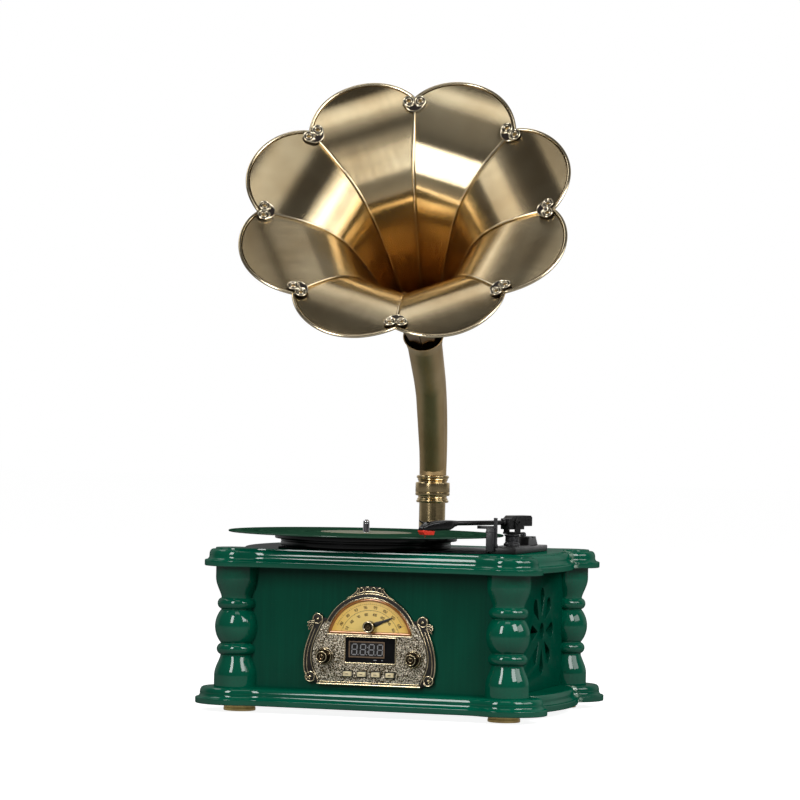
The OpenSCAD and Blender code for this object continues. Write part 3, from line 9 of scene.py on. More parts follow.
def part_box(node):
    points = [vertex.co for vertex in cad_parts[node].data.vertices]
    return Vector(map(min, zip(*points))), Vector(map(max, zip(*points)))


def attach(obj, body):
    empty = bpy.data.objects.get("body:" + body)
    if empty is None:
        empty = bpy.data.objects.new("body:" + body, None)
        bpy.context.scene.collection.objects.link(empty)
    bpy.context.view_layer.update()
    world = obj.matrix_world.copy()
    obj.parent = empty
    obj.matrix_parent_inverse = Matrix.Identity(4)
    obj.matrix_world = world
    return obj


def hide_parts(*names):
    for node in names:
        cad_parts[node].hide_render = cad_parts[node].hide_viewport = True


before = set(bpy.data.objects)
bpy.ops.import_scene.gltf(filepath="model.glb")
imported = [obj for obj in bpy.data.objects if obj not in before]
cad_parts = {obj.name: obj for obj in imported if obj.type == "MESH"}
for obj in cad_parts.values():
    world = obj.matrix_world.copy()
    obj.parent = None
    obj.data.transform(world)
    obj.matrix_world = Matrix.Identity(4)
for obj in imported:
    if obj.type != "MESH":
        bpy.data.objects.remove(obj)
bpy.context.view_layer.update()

# The part's origin in the row frame, and its main sizes in millimetres, as in the CAD source
feet_low, feet_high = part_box("feet")
ORIGIN = Vector(((feet_low.x + feet_high.x) / 2, (feet_low.y + feet_high.y) / 2, 0))
CX, CY = 153.2, 122.5
PANEL_T = 9
BASE_Z, WALL_Z, TOP_Z, DECK_Z = 8, 26, 157, 177
BASE_OVER, TOP_INSET = 43.7, 7.7
FRONT_STEP, SIDE_STEP, FILLET_R, CUSP_IN = 9, 6, 40, 36
COL_H = TOP_Z - WALL_Z
ARC_Z = WALL_Z + 52.5  # the middle of the dial's arch


def metres(point):
    """A point of the part, given in millimetres, in the scene."""
    return Vector(point) / 1000 + ORIGIN


def added(name, data):
    """A new object in the scene."""
    made = bpy.data.objects.new(name, data)
    bpy.context.scene.collection.objects.link(made)
    return made


# ---- Camera, at the photograph's eye ----
VIEW_TURN, VIEW_ROLL = rad(17.03), rad(1.18)
EYE_SIDE, EYE_BACK, EYE_Z = -9.7, 4350, 340.8
LENS, SENSOR = 177.03, 36
UP = Vector((0, 0, 1))
forward = Vector((-sin(VIEW_TURN), cos(VIEW_TURN), 0))
level = Vector((cos(VIEW_TURN), sin(VIEW_TURN), 0))
right = level * cos(VIEW_ROLL) + UP * sin(VIEW_ROLL)
upright = UP * cos(VIEW_ROLL) - level * sin(VIEW_ROLL)
camera_data = bpy.data.cameras.new("camera")
camera_data.lens, camera_data.sensor_width = LENS, SENSOR
camera = added("camera", camera_data)
facing = Matrix((right, upright, -forward)).transposed()
eye = metres(level * EYE_SIDE - forward * EYE_BACK + UP * EYE_Z)
camera.matrix_world = Matrix.Translation(eye) @ facing.to_4x4()
bpy.context.scene.camera = camera
bpy.context.scene.view_settings.view_transform = "Standard"


# ---- Lines: lists of points in millimetres, angles in degrees ----
def arc(x, y, r, a0, a1, steps=24):
    turns = [rad(a0 + (a1 - a0) * k / steps) for k in range(steps + 1)]
    return [(x + r * cos(t), y + r * sin(t)) for t in turns]


def circle(x, y, r, steps=48):
    return arc(x, y, r, 0, 360, steps)[:-1]


def laid(points, depth):
    """A flat line laid at one depth."""
    return [(p[0], p[1], depth) for p in points]


def both(points):
    """The right-hand line, and its mirror image."""
    return [points, [(-p[0],) + tuple(p[1:]) for p in points]]


def smooth(points, steps=6):
    """A Catmull-Rom curve through the points."""
    points = [Vector(p) for p in points]
    last, out = len(points) - 1, []
    for i in range(last):
        a, b = points[max(i - 1, 0)], points[i]
        c, d = points[i + 1], points[min(i + 2, last)]
        for t in (k / steps for k in range(steps)):
            out.append(0.5 * (2 * b + (c - a) * t + (2 * a - 5 * b + 4 * c - d) * t ** 2
                              + (3 * b - a - 3 * c + d) * t ** 3))
    return out + [points[-1]]


def rounded(points, r=0.5, steps=4, closed=False):
    """The points with their corners rounded; a third number at a point is its own radius."""
    out, n = [], len(points)
    for i, p in enumerate(points):
        size, b = p[2] if len(p) > 2 else r, Vector(p[:2])
        to_last = Vector(points[i - 1][:2]) - b
        to_next = Vector(points[(i + 1) % n][:2]) - b
        is_corner = closed or 0 < i < n - 1
        if is_corner and min(to_last.length, to_next.length) >= 1e-6:
            half = to_last.angle(to_next) / 2
        else:
            half = 0
        if size == 0 or half < 0.02 or half > 1.56:
            out.append(tuple(b))
            continue
        cut = min(size / tan(half), 0.48 * to_last.length, 0.48 * to_next.length)
        u, w = to_last.normalized(), to_next.normalized()
        centre = b + (u + w).normalized() * (cut / cos(half))
        start, end = b + u * cut - centre, b + w * cut - centre
        a0 = atan2(start.y, start.x)
        sweep = (atan2(end.y, end.x) - a0 + pi) % TAU - pi
        out += arc(*centre, start.length, degrees(a0), degrees(a0 + sweep), steps)
    return out


def box_loop(x0, y0, x1, y1, r=0.6, steps=4):
    return rounded([(x0, y0), (x1, y0), (x1, y1), (x0, y1)], r, steps, True)


def box_at(x, y, half_w, half_h, r=0.6):
    return box_loop(x - half_w, y - half_h, x + half_w, y + half_h, r)


# ---- Parts: a list of points, one of faces and for some one of UV places ----
def skin(rings, closed=False, capped=True):
    """Faces from ring to ring of points; the two ends meet, are capped or stay open."""
    n, count, faces = len(rings[0]), len(rings), []
    for j in range(count if closed else count - 1):
        a, b = j * n, (j + 1) % count * n
        faces += [(a + k, a + (k + 1) % n, b + (k + 1) % n, b + k) for k in range(n)]
    if capped and not closed:
        faces += [tuple(range(n))[::-1], tuple((count - 1) * n + k for k in range(n))]
    return [p for ring in rings for p in ring], faces


def turned(profile, steps=96, closed=False):
    """A turned form from (radius, height) points."""
    return skin([laid(circle(0, 0, r, steps), z) for r, z in profile], closed)


def tube(path, radius, sides=12, closed=False):
    """A tube along a path; radius is one number or one for each point."""
    path, rings, side = [Vector(p) for p in path], [], None
    n = len(path)
    radii = radius if isinstance(radius, list) else [radius] * n
    for i, p in enumerate(path):
        ahead = path[(i + 1) % n] if closed or i < n - 1 else p
        behind = path[i - 1] if closed or i > 0 else p
        t = (ahead - behind).normalized()
        if side is None:
            side = (UP.cross(t) if abs(t.z) < 0.9 else t.orthogonal()).normalized()
        side = (side - t * side.dot(t)).normalized()
        rings.append([p + x * side + y * t.cross(side) for x, y in circle(0, 0, radii[i], sides)])
    return skin(rings, closed)


def plate(loops, low, high, bevel=0.0, steps=2):
    """A flat plate of the outline loops, between two heights, with bevelled edges."""
    curve = bpy.data.curves.new("plate", "CURVE")
    curve.dimensions, curve.fill_mode = "2D", "BOTH"
    curve.extrude, curve.bevel_depth, curve.offset = (high - low) / 2 - bevel, bevel, -bevel
    curve.bevel_resolution = steps
    for loop in loops:
        spline = curve.splines.new("POLY")
        spline.points.add(len(loop) - 1)
        for point, p in zip(spline.points, loop):
            point.co = (p[0], p[1], 0, 1)
        spline.use_cyclic_u = True
    holder = added("plate", curve)
    bpy.context.view_layer.update()
    mesh = bpy.data.meshes.new_from_object(holder)
    bm = bmesh.new()
    bm.from_mesh(mesh)
    bmesh.ops.remove_doubles(bm, verts=bm.verts, dist=0.001)
    bm.verts.index_update()
    verts = [(v.co.x, v.co.y, v.co.z + (low + high) / 2) for v in bm.verts]
    faces = [tuple(v.index for v in f.verts) for f in bm.faces]
    bm.free()
    bpy.data.objects.remove(holder)
    bpy.data.meshes.remove(mesh)
    bpy.data.curves.remove(curve)
    return verts, faces


def block(low, high, bevel=0.5):
    """A box with rounded edges, from its low to its high corner."""
    (x0, y0, z0), (x1, y1, z1) = low, high
    return plate([box_loop(x0, y0, x1, y1, bevel, 3)], z0, z1, bevel)


def dense(profile, step=0.5):
    """The profile with points added, at most about a step apart."""
    out = [profile[0]]
    for (r0, z0), (r1, z1) in zip(profile, profile[1:]):
        n = max(1, int(hypot(r1 - r0, z1 - z0) / step))
        out += [(r0 + (r1 - r0) * k / n, z0 + (z1 - z0) * k / n) for k in range(1, n + 1)]
    return out


def fluted(part, low, high, count, depth):
    """Presses upright flutes into a turned part, between two heights."""
    verts = []
    for x, y, z in part[0]:
        r, a = hypot(x, y), atan2(y, x)
        share = max(0.0, min(1.0, min(z - low, high - z) / 0.4))
        r -= depth * share * (0.5 - 0.5 * cos(a * count))
        verts.append((r * cos(a), r * sin(a), z))
    return verts, part[1]


# ---- Places ----
def moved(x=0, y=0, z=0):
    return Matrix.Translation((x, y, z))


def turned_by(axis, angle):
    return Matrix.Rotation(rad(angle), 4, axis)


# The turntable's axis
SPIN = moved(-33, -42)
# FRONT lays a drawing (x to the right, y up, z towards the viewer) on a plane that faces the
# front, or along the arm (x towards the head); SIDE lays it on one that faces +X
FRONT = Matrix(((1, 0, 0, 0), (0, 0, -1, 0), (0, 1, 0, 0), (0, 0, 0, 1)))
SIDE = Matrix(((0, 0, 1, 0), (1, 0, 0, 0), (0, 1, 0, 0), (0, 0, 0, 1)))


def placed(part, at):
    return ([at @ Vector(v) for v in part[0]],) + part[1:]


def piece(name, parts, look, body, replaces=(), angle=35, at=Matrix(), wear_glint=None):
    """Makes the mesh object of one part or a list of parts, which rides on its body."""
    verts, faces, uvs = [], [], []
    for part in (parts if isinstance(parts, list) else [parts]):
        faces += [tuple(i + len(verts) for i in face) for face in part[1]]
        verts += [metres(at @ Vector(v)) for v in part[0]]
        uvs += part[2] if len(part) > 2 else [(0, 0)] * len(part[0])
    mesh = bpy.data.meshes.new(name)
    mesh.from_pydata(verts, [], faces)
    bm = bmesh.new()
    bm.from_mesh(mesh)
    bmesh.ops.recalc_face_normals(bm, faces=bm.faces)
    bm.to_mesh(mesh)
    bm.free()
    layer = mesh.uv_layers.new(name="UVMap")
    for loop in mesh.loops:
        layer.data[loop.index].uv = uvs[loop.vertex_index]
    if wear_glint:
        mesh.attributes.new("wear_glint", "FLOAT", "POINT").data.foreach_set("value", wear_glint)
    mesh.shade_smooth()
    mesh.set_sharp_from_angle(angle=rad(angle))
    mesh.materials.append(LOOKS[look])
    made = added(name, mesh)
    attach(made, body)
    if replaces:
        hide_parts(*replaces)
    return made


# ---- Looks: procedural materials; colours are 0 to 255, as on the screen ----
LOOKS = {}
WHITE = (1, 1, 1, 1)


def linear(colour):
    """A screen colour as Blender's linear numbers; anything else stays as it is."""
    if not isinstance(colour, tuple) or len(colour) != 3:
        return colour
    parts = [c / 255 for c in colour]
    return tuple(c / 12.92 if c <= 0.04045 else ((c + 0.055) / 1.055) ** 2.4
                 for c in parts) + (1.0,)


class Tree:
    """The node tree of a material or of the world."""

    def __init__(self, owner):
        owner.use_nodes = True
        self.nodes, self.links = owner.node_tree.nodes, owner.node_tree.links

    def feed(self, target, value):
        """Links a socket to the target, or sets a value on it."""
        if isinstance(value, bpy.types.NodeSocket):
            self.links.new(value, target)
        else:
            target.default_value = value

    def node(self, kind, inputs=None, **settings):
        made = self.nodes.new("ShaderNode" + kind)
        for key, value in settings.items():
            setattr(made, key, value)
        for key, value in (inputs or {}).items():
            self.feed(made.inputs[key], value)
        return made

    def vectors(self, operation, a, b=(0, 0, 0), output=0):
        return self.node("VectorMath", {0: a, 1: b}, operation=operation).outputs[output]

    def maths(self, operation, *values):
        return self.node("Math", dict(enumerate(values)), operation=operation).outputs[0]

    def mix(self, fac, a, b):
        inputs = {0: fac, 6: linear(a), 7: linear(b)}
        return self.node("Mix", inputs, data_type="RGBA").outputs[2]

    def ramp(self, value, *stops):
        """A colour ramp; its stops are (place, colour) or (place, shade of grey)."""
        made = self.node("ValToRGB", {"Fac": value})
        elements = made.color_ramp.elements
        while len(elements) < len(stops):
            elements.new(0.5)
        for element, (place, colour) in zip(elements, stops):
            element.position = place
            is_grey = not isinstance(colour, tuple)
            element.color = (colour,) * 3 + (1,) if is_grey else linear(colour)
        return made.outputs[0]

    def span(self, value, a, b, c=0, d=1):
        """The value, with a to b laid on c to d."""
        inputs = {"Value": value, "From Min": a, "From Max": b, "To Min": c, "To Max": d}
        return self.node("MapRange", inputs).outputs[0]

    def ray(self, kind):
        return self.node("LightPath").outputs[f"Is {kind} Ray"]


class Look(Tree):
    """A material, found in LOOKS by its name."""

    def __init__(self, name, colour, rough, metal=0.0, **more):
        LOOKS[name] = bpy.data.materials.new(name)
        super().__init__(LOOKS[name])
        self.shader, self.normal = self.nodes["Principled BSDF"], None
        self.put("Base Color", linear(colour))
        self.put("Roughness", rough)
        self.put("Metallic", metal)
        for key, value in more.items():
            self.put(key.replace("_", " "), value)

    def put(self, socket, value):
        self.feed(self.shader.inputs[socket], value)

    def coords(self, stretch=(1, 1, 1), kind="Object"):
        place = self.node("TexCoord").outputs[kind]
        return self.node("Mapping", {"Vector": place, "Scale": stretch}).outputs[0]

    def noise(self, scale, detail=3.0, stretch=(1, 1, 1), kind="Object", rough=0.5):
        inputs = {"Vector": self.coords(stretch, kind), "Scale": scale,
                  "Detail": detail, "Roughness": rough}
        return self.node("TexNoise", inputs).outputs[0]

    def cells(self, scale, feature="F1"):
        inputs = {"Vector": self.coords(), "Scale": scale}
        return self.node("TexVoronoi", inputs, feature=feature).outputs["Distance"]

    def fade(self, value, low, high, a, b):
        """Colour a below the low stop and b above the high one, each (place, share of b)."""
        return self.mix(self.ramp(value, low, high), a, b)

    def distance(self, point, axes=(1, 1, 1)):
        """How far from a point, along the axes that count."""
        away = self.vectors("SUBTRACT", self.node("TexCoord").outputs["Object"], metres(point))
        return self.vectors("LENGTH", self.vectors("MULTIPLY", away, axes), output="Value")

    def bump(self, height, strength, depth_mm):
        """Adds a bump, on top of the ones before it."""
        inputs = {"Height": height, "Strength": strength, "Distance": depth_mm / 1000}
        if self.normal:
            inputs["Normal"] = self.normal
        self.normal = self.node("Bump", inputs).outputs[0]
        self.put("Normal", self.normal)

    def coat(self, weight, least):
        """A coat that fades where the surface is seen almost edge on."""
        facing = self.node("LayerWeight", {"Blend": 0.5}).outputs["Facing"]
        self.put("Coat Weight", self.span(facing, 0.35, 0.8, weight, least))


def brushed_brass(name, dark, bright, rough, lean, lines, throat=None):
    """Antique brass, brushed along v, with highlights spread across the lines.

    Near the throat it turns golden with painted inter-reflected light, then dark with painted
    shade.
    """
    look = Look(name, bright, rough, 1.0, Anisotropic=lean)
    hair = look.noise(1400, 2, (1, 0.03, 1), "UV", 0.6)
    streak = look.noise(260, 2, (1, 0.06, 1), "UV", 0.5)
    along = look.node("Tangent", direction_type="UV_MAP", uv_map="UVMap").outputs[0]
    look.put("Tangent", along)
    tone = look.fade(look.noise(11, 4), (0.3, 0.0), (0.72, 1.0), bright, dark)
    tone = look.fade(hair, (0.25, 0.16 * lines), (0.75, 0.0), tone, dark)
    tone = look.fade(streak, (0.25, 0.2 * lines), (0.75, 0.0), tone, dark)
    if throat:
        # Painted light near the throat: a golden glow for light bounced inside the bell, then
        # painted shade deeper in
        away = look.distance(throat)
        painted_bounce_glow = look.ramp(look.span(away, 0.03, 0.2), (0.0, 0.9), (0.35, 0.6), (1.0, 0.0))
        tone = look.mix(painted_bounce_glow, tone, (186, 150, 92))
        tone = look.fade(look.span(away, 0.02, 0.08), (0.0, 0.8), (0.9, 0.0), tone, (62, 38, 12))
    look.put("Base Color", tone)
    spread = 0.1 * lines
    look.put("Roughness", look.span(streak, 0.3, 0.7, rough * (1 - spread), rough * (1 + spread)))


def cast_bronze(name, low, high, rough, pebbles=0.0):
    """Cast metal: dark in the hollows and bright where it stands proud."""
    look = Look(name, high, rough, 1.0)
    edge = look.node("NewGeometry").outputs["Pointiness"]
    tone = look.fade(edge, (0.47, 0.0), (0.54, 1.0), low, high)
    tone = look.fade(look.noise(300, 4), (0.4, 0.0), (0.7, 0.5), tone, low)
    if pebbles:
        grit, fine = look.cells(860), look.noise(1150, 2)
        tone = look.fade(grit, (0.3, 0.0), (0.55, 1.0), tone, (24, 19, 14))
        tone = look.fade(fine, (0.52, 0.0), (0.58, 1.0), tone, (244, 234, 212))
        look.bump(grit, 1.0, -pebbles)
        look.bump(fine, 1.0, 0.5 * pebbles)
    look.put("Base Color", tone)


def simple(name, colour, rough, metal=0.0, grain=300, vary=0.12, bump=0.1,
           stretch=(1, 1, 1), **more):
    """A plain finish with slight mottling and a fine surface."""
    look = Look(name, colour, rough, metal, **more)
    mottle, base = look.noise(grain, 4, stretch), linear(colour)[:3]
    dark = tuple(c * (1 - 2 * vary) for c in base) + (1,)
    pale = tuple(min(1, c * (1 + vary) + 0.004) for c in base) + (1,)
    look.put("Base Color", look.ramp(mottle, (0.3, dark), (0.7, pale)))
    smudge = look.noise(grain * 0.23, 3)
    look.put("Roughness", look.span(smudge, 0.3, 0.7, rough * 0.85, min(1, rough * 1.15)))
    if bump:
        look.bump(mottle, bump, 0.08)
    return look


look = Look("green_lacquer", (0, 78, 57), 0.5, Specular_IOR_Level=0.0,
            Coat_Roughness=0.07, Coat_IOR=1.5)
base = look.ramp(look.noise(14, 3), (0.3, (0, 76, 56)), (0.7, (0, 90, 67)))
# Pale wear together with a painted highlight along the cusp ridges, broken up by noise
cusp_wear_glint = look.node("Attribute", attribute_name="wear_glint").outputs["Fac"]
rubbed_glint = look.maths("MULTIPLY", cusp_wear_glint, look.ramp(look.noise(300, 5), (0.44, 0.0), (0.54, 1.0)))
look.put("Base Color", look.mix(rubbed_glint, base, (178, 196, 180)))
look.bump(look.noise(60, 2), 0.25, 0.12)
look.bump(look.noise(700, 2), 0.12, 0.03)
look.coat(1.0, 0.1)

look = Look("green_panel", (0, 68, 50), 0.5, Specular_IOR_Level=0.0,
            Coat_Roughness=0.2, Coat_IOR=1.4)
grain = look.noise(260, 5, (1, 1, 0.035), rough=0.6)
base = look.fade(grain, (0.35, 0.0), (0.75, 0.55), (0, 64, 48), (0, 76, 56))
base = look.fade(look.noise(9, 3), (0.35, 0.0), (0.75, 0.35), base, (0, 84, 62))
dust = look.ramp(look.cells(330), (0.0, 1.0), (0.055, 0.0))
thin = look.maths("MULTIPLY", dust, look.ramp(look.noise(40, 2), (0.5, 0.0), (0.62, 1.0)))
look.put("Base Color", look.mix(thin, base, (96, 160, 130)))
look.bump(grain, 0.35, 0.15)
look.coat(0.5, 0.0)

look = Look("record_vinyl", (20, 52, 38), 0.35, Specular_IOR_Level=0.0,
            Coat_Roughness=0.16, Coat_IOR=1.5)
reach = look.distance(SPIN.to_translation(), (1, 1, 0))
groove = look.node("CombineXYZ", {"X": reach}).outputs[0]
fine, tracks = (look.node("TexNoise", {"Vector": groove, "Scale": scale, "Detail": detail})
                .outputs[0] for scale, detail in ((2600.0, 4.0), (160.0, 1.0)))
tone = look.ramp(tracks, (0.38, (26, 58, 42)), (0.5, (36, 72, 53)), (0.66, (48, 86, 64)))
look.put("Base Color", look.fade(fine, (0.4, 0.0), (0.7, 0.35), tone, (16, 42, 30)))
look.bump(fine, 0.5, 0.12)
look.coat(0.9, 0.0)

look = Look("dial_amber", (232, 188, 84), 0.38, Coat_Weight=0.5, Coat_Roughness=0.05)
# Painted shade: the amber darkens from the middle of the dial towards its rim, under the bezel
reach = look.span(look.distance((0, -CY, ARC_Z + 4)), 0.028, 0.047)
tone = look.ramp(reach, (0.0, (246, 212, 118)), (0.6, (242, 200, 96)), (1.0, (226, 170, 66)))
tone = look.fade(look.noise(60, 3), (0.3, 0.0), (0.7, 0.12), tone, (226, 176, 78))
look.put("Base Color", tone)

look = Look("speaker_cloth", (14, 15, 14), 0.85, Sheen_Weight=0.3, Sheen_Roughness=0.5)
threads = [look.node("TexWave", {"Vector": look.coords(), "Scale": 900.0},
                     bands_direction=axis).outputs["Fac"] for axis in "YZ"]
weave = look.maths("MULTIPLY", *threads)
look.put("Base Color", look.ramp(weave, (0.1, (4, 5, 5)), (0.7, (26, 28, 27))))
look.bump(weave, 0.6, 0.2)

look = simple("circuit_board", (18, 86, 48), 0.4, 0.0, 200, 0.1, 0.05)
tracks = look.cells(150, "DISTANCE_TO_EDGE")
look.put("Base Color", look.fade(tracks, (0.02, 1.0), (0.05, 0.0), (18, 86, 48), (40, 120, 70)))

brushed_brass("pipe_brass", (178, 148, 102), (226, 202, 158), 0.46, 0.4, 0.4)
cast_bronze("bronze_ground", (104, 90, 66), (158, 142, 112), 0.36, 0.5)
cast_bronze("knob_bronze", (18, 15, 12), (96, 80, 56), 0.24)

# Name, colour, roughness, metal, grain, mottling, bump and the grain's stretch
for row in (
        ("turned_brass", (204, 180, 134), 0.17, 1.0, 90, 0.08, 0.04, (1, 1, 14)),
        ("rim_brass", (216, 200, 168), 0.2, 1.0, 160, 0.05, 0.02),
        ("rim_line_dark", (92, 74, 48), 0.3, 1.0, 160, 0.1, 0.02),
        ("neck_brass", (58, 46, 28), 0.35, 1.0, 120, 0.2, 0.1),
        ("clip_bright", (228, 216, 190), 0.22, 1.0, 500, 0.1, 0.05),
        ("clip_eye", (150, 122, 76), 0.28, 1.0, 500, 0.15, 0.05),
        ("clip_dark", (38, 29, 22), 0.5, 0.6, 400, 0.2, 0.1),
        ("foot_brass", (250, 214, 140), 0.3, 0.9, 120, 0.12, 0.05),
        ("bronze_rib", (224, 208, 172), 0.24, 1.0, 260, 0.16, 0.05),
        ("bronze_dark", (24, 19, 14), 0.5, 0.3, 300, 0.2, 0.1),
        ("knob_edge", (232, 216, 180), 0.2, 1.0, 300, 0.12, 0.03),
        ("button_brass", (246, 228, 184), 0.3, 0.15, 400, 0.1, 0.06),
        ("pointer_black", (24, 20, 16), 0.4),
        ("display_bezel", (112, 88, 64), 0.4, 0.0, 600, 0.12, 0.05),
        ("display_digit", (150, 150, 152), 0.5, 0.0, 500, 0.05, 0.0),
        ("dial_ink", (74, 46, 12), 0.5, 0.0, 800, 0.1, 0.0),
        ("grey_grain", (40, 40, 43), 0.4, 0.0, 1000, 0.45, 0.9),
        ("spindle_chrome", (222, 222, 226), 0.08, 1.0, 60, 0.04, 0.0),
        ("cartridge_red", (214, 48, 26), 0.28, 0.0, 300, 0.08, 0.03),
        ("mat_rubber", (30, 30, 31), 0.7, 0.0, 900, 0.25, 0.3),
        ("record_label", (112, 112, 82), 0.6, 0.0, 500, 0.1, 0.1),
        ("screw_steel", (176, 176, 178), 0.3, 1.0, 500, 0.1, 0.08),
        ("speaker_cone", (34, 34, 36), 0.7, 0.0, 400, 0.25, 0.2),
        ("module_black", (26, 26, 27), 0.45, 0.0, 400, 0.15, 0.1),
        ("control_steel", (168, 168, 172), 0.32, 1.0, 300, 0.1, 0.05),
        ("supply_grey", (150, 150, 142), 0.45, 0.6, 260, 0.12, 0.1),
        ("socket_black", (30, 30, 32), 0.42, 0.0, 700, 0.25, 0.2),
        ("belt_rubber", (26, 26, 26), 0.75, 0.0, 600, 0.2, 0.2),
        ("bearing_brass", (184, 160, 104), 0.25, 1.0, 260, 0.1, 0.05)):
    simple(*row)
simple("display_glass", (5, 5, 7), 0.1, 0.0, 60, 0.1, 0.0, Specular_IOR_Level=0.12)
simple("display_back", (34, 31, 29), 0.4, 0.0, 500, 0.1, 0.05, Specular_IOR_Level=0.2)
simple("black_gloss", (7, 7, 8), 0.18, 0.0, 260, 0.15, 0.06, Specular_IOR_Level=0.35)
simple("black_satin", (14, 14, 15), 0.36, 0.0, 700, 0.2, 0.25, Specular_IOR_Level=0.35)
simple("dial_rim", (170, 106, 42), 0.14, 0.3, 120, 0.15, 0.0,
       Coat_Weight=1.0, Coat_Roughness=0.03)

# Plain parts keep their CAD shape and get a look
for name, nodes in {
        "green_panel": ("front_panel", "back_panel"), "screw_steel": ("screws",),
        "speaker_cloth": ("speaker_cloths",), "speaker_cone": ("left_speaker", "right_speaker"),
        "module_black": ("display_module",), "circuit_board": ("control_board", "amplifier_board"),
        "control_steel": ("rotary_controls", "tuning_capacitor", "drive_motor"),
        "supply_grey": ("power_supply",), "socket_black": ("rear_jack_plate", "power_inlet"),
        "belt_rubber": ("drive_belt",), "bearing_brass": ("spindle_bearing", "motor_pulley"),
        "turned_brass": ("pipe_spigot",)}.items():
    for node in nodes:
        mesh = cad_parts[node].data
        mesh.materials.clear()
        mesh.materials.append(LOOKS[name])

# ---- Cabinet: the boards' outline runs from a bow at the side over a cusp and a lobe ----
FRONT_Y, SIDE_X = CY + BASE_OVER - FRONT_STEP, CX + BASE_OVER - SIDE_STEP
CUSP_X, CUSP_Y = CX + sqrt(BASE_OVER ** 2 - CUSP_IN ** 2), CY - CUSP_IN
BOW = SIDE_X - CUSP_X
BOW_R = (CUSP_Y ** 2 + BOW ** 2) / (2 * BOW)
BOW_X = SIDE_X - BOW_R
FILLET_Y = FRONT_Y + FILLET_R
FILLET_X = CX - sqrt((BASE_OVER + FILLET_R) ** 2 - (FILLET_Y - CY) ** 2)
FILLET_ANGLE = degrees(atan2(FILLET_Y - CY, FILLET_X - CX))
BOW_STEPS, LOBE_STEPS = 14, 44
WEAR_GLINT_POINTS = 2.5  # how many points away from a cusp the pale wear and painted highlight end


def outline(inset):
    """The boards' moulded outline, and how near each of its points is to a cusp."""
    bow_r, lobe_r, dx = BOW_R - inset, BASE_OVER - inset, CX - BOW_X
    d = hypot(dx, CY)
    end = atan2(CY, dx) - acos((bow_r ** 2 + d * d - lobe_r ** 2) / (2 * bow_r * d))
    bow = arc(BOW_X, 0, bow_r, 0, degrees(end), BOW_STEPS)
    x, y = bow.pop()
    lobe = arc(CX, CY, lobe_r, degrees(atan2(y - CY, x - CX)), FILLET_ANGLE, LOBE_STEPS)
    fillet = arc(FILLET_X, FILLET_Y, FILLET_R + inset, FILLET_ANGLE + 180, 270, BOW_STEPS)[1:]
    first, *quarter = bow + lobe + fillet
    near = [max(0.0, 1 - abs(i - BOW_STEPS) / WEAR_GLINT_POINTS) for i in range(1, len(quarter) + 1)]
    ring = ([first] + quarter + [(-x, y) for x, y in quarter[::-1]] + [(-first[0], 0)]
            + [(-x, -y) for x, y in quarter] + [(x, -y) for x, y in quarter[::-1]])
    return ring, 2 * ([0.0] + near + near[::-1])


def edge_profile(t, step):
    """(inset, height) over a board's edge: a lip, a cove, a round shoulder and a step."""
    lip, cove, shoulder, top = 6.3, 4, 6, t - step
    low = rounded([(4, 0, 0), (0, 0, 1.2), (0, lip, 0.9), (1, lip + 0.5, 0)], 1, 5)
    hollow = arc(1, lip + 0.5 + cove, cove, -75, 0, 5)
    round_top = [(9 - 4 * x, top - shoulder + shoulder * y) for x, y in arc(0, 0, 1, 0, 90, 9)]
    flat = [(11.5, top), (11.8, top + 0.3), (12, t - 0.3), (12.3, t)] if step else [(14, top)]
    return low + hollow + round_top + flat


# Each board's name, bottom, top, inset and step; its pale wear and painted highlight are near the
# cusps, not on its faces
for name, low, high, inset, step in (("base", BASE_Z, WALL_Z, 0.25, 0),
                                     ("top", TOP_Z, DECK_Z, TOP_INSET, 1.7)):
    rings, wear_glint = [], []
    profile = [(x + inset, z) for x, z in edge_profile(high - low, step)]
    for depth, z in profile:
        ring, near = outline(depth)
        rings.append(laid(ring, low + z))
        wear_glint += [0] * len(ring) if (depth, z) in (profile[0], profile[-1]) else near
    piece(f"{name}_moulding", skin(rings), "green_lacquer", "cabinet",
          [f"{name}_board"], 28, wear_glint=wear_glint)

# Corner columns: a ball between two beads and two bells
COL_R, COL_RING_R, COL_NECK_R = 23.4, 21.1, 17
BALL_H, RING_H, END_H = 17.5, 14.5, 12


def swell(half, low, high, steps):
    """A bulge from -half to half, whose radius goes from low to high."""
    s = high - low
    r = (half * half + s * s) / (2 * s)
    places = [half * (2 * i / steps - 1) for i in range(steps + 1)]
    return [(high - r + sqrt(r * r - z * z), z) for z in places]


bell_low, bell_high = BALL_H + RING_H, COL_H / 2 - END_H
half = [(COL_R, 0)] + [p for p in swell(BALL_H, COL_NECK_R + 0.4, COL_R, 40) if p[1] > 0]
half += [(COL_NECK_R, BALL_H + 0.3), (COL_NECK_R, BALL_H + 1.2)]
half += [(r, z + BALL_H + RING_H / 2)
         for r, z in swell(RING_H / 2 - 1.6, COL_NECK_R + 0.9, COL_RING_R, 18)]
half += [(COL_NECK_R, bell_low - 1.2), (COL_NECK_R, bell_low - 0.2)]
half += [(COL_NECK_R + (COL_R - COL_NECK_R) * sin(pi / 2 * t) ** 1.3,
          bell_low + (bell_high - bell_low) * t) for t in (i / 22 for i in range(1, 23))]
half += [(COL_R, COL_H / 2 - 2), (COL_R, COL_H / 2)]
column = turned([(r, -z) for r, z in half[:0:-1]] + half, 88)
CORNERS = [(x, y) for x in (-1, 1) for y in (-1, 1)]
for sx, sy in CORNERS:
    corner = f"{'front' if sy < 0 else 'back'}_{'left' if sx < 0 else 'right'}"
    piece(f"turned_column_{corner}", column, "green_lacquer", "cabinet",
          [f"column_{corner}"], 40, moved(sx * CX, sy * CY, WALL_Z + COL_H / 2))

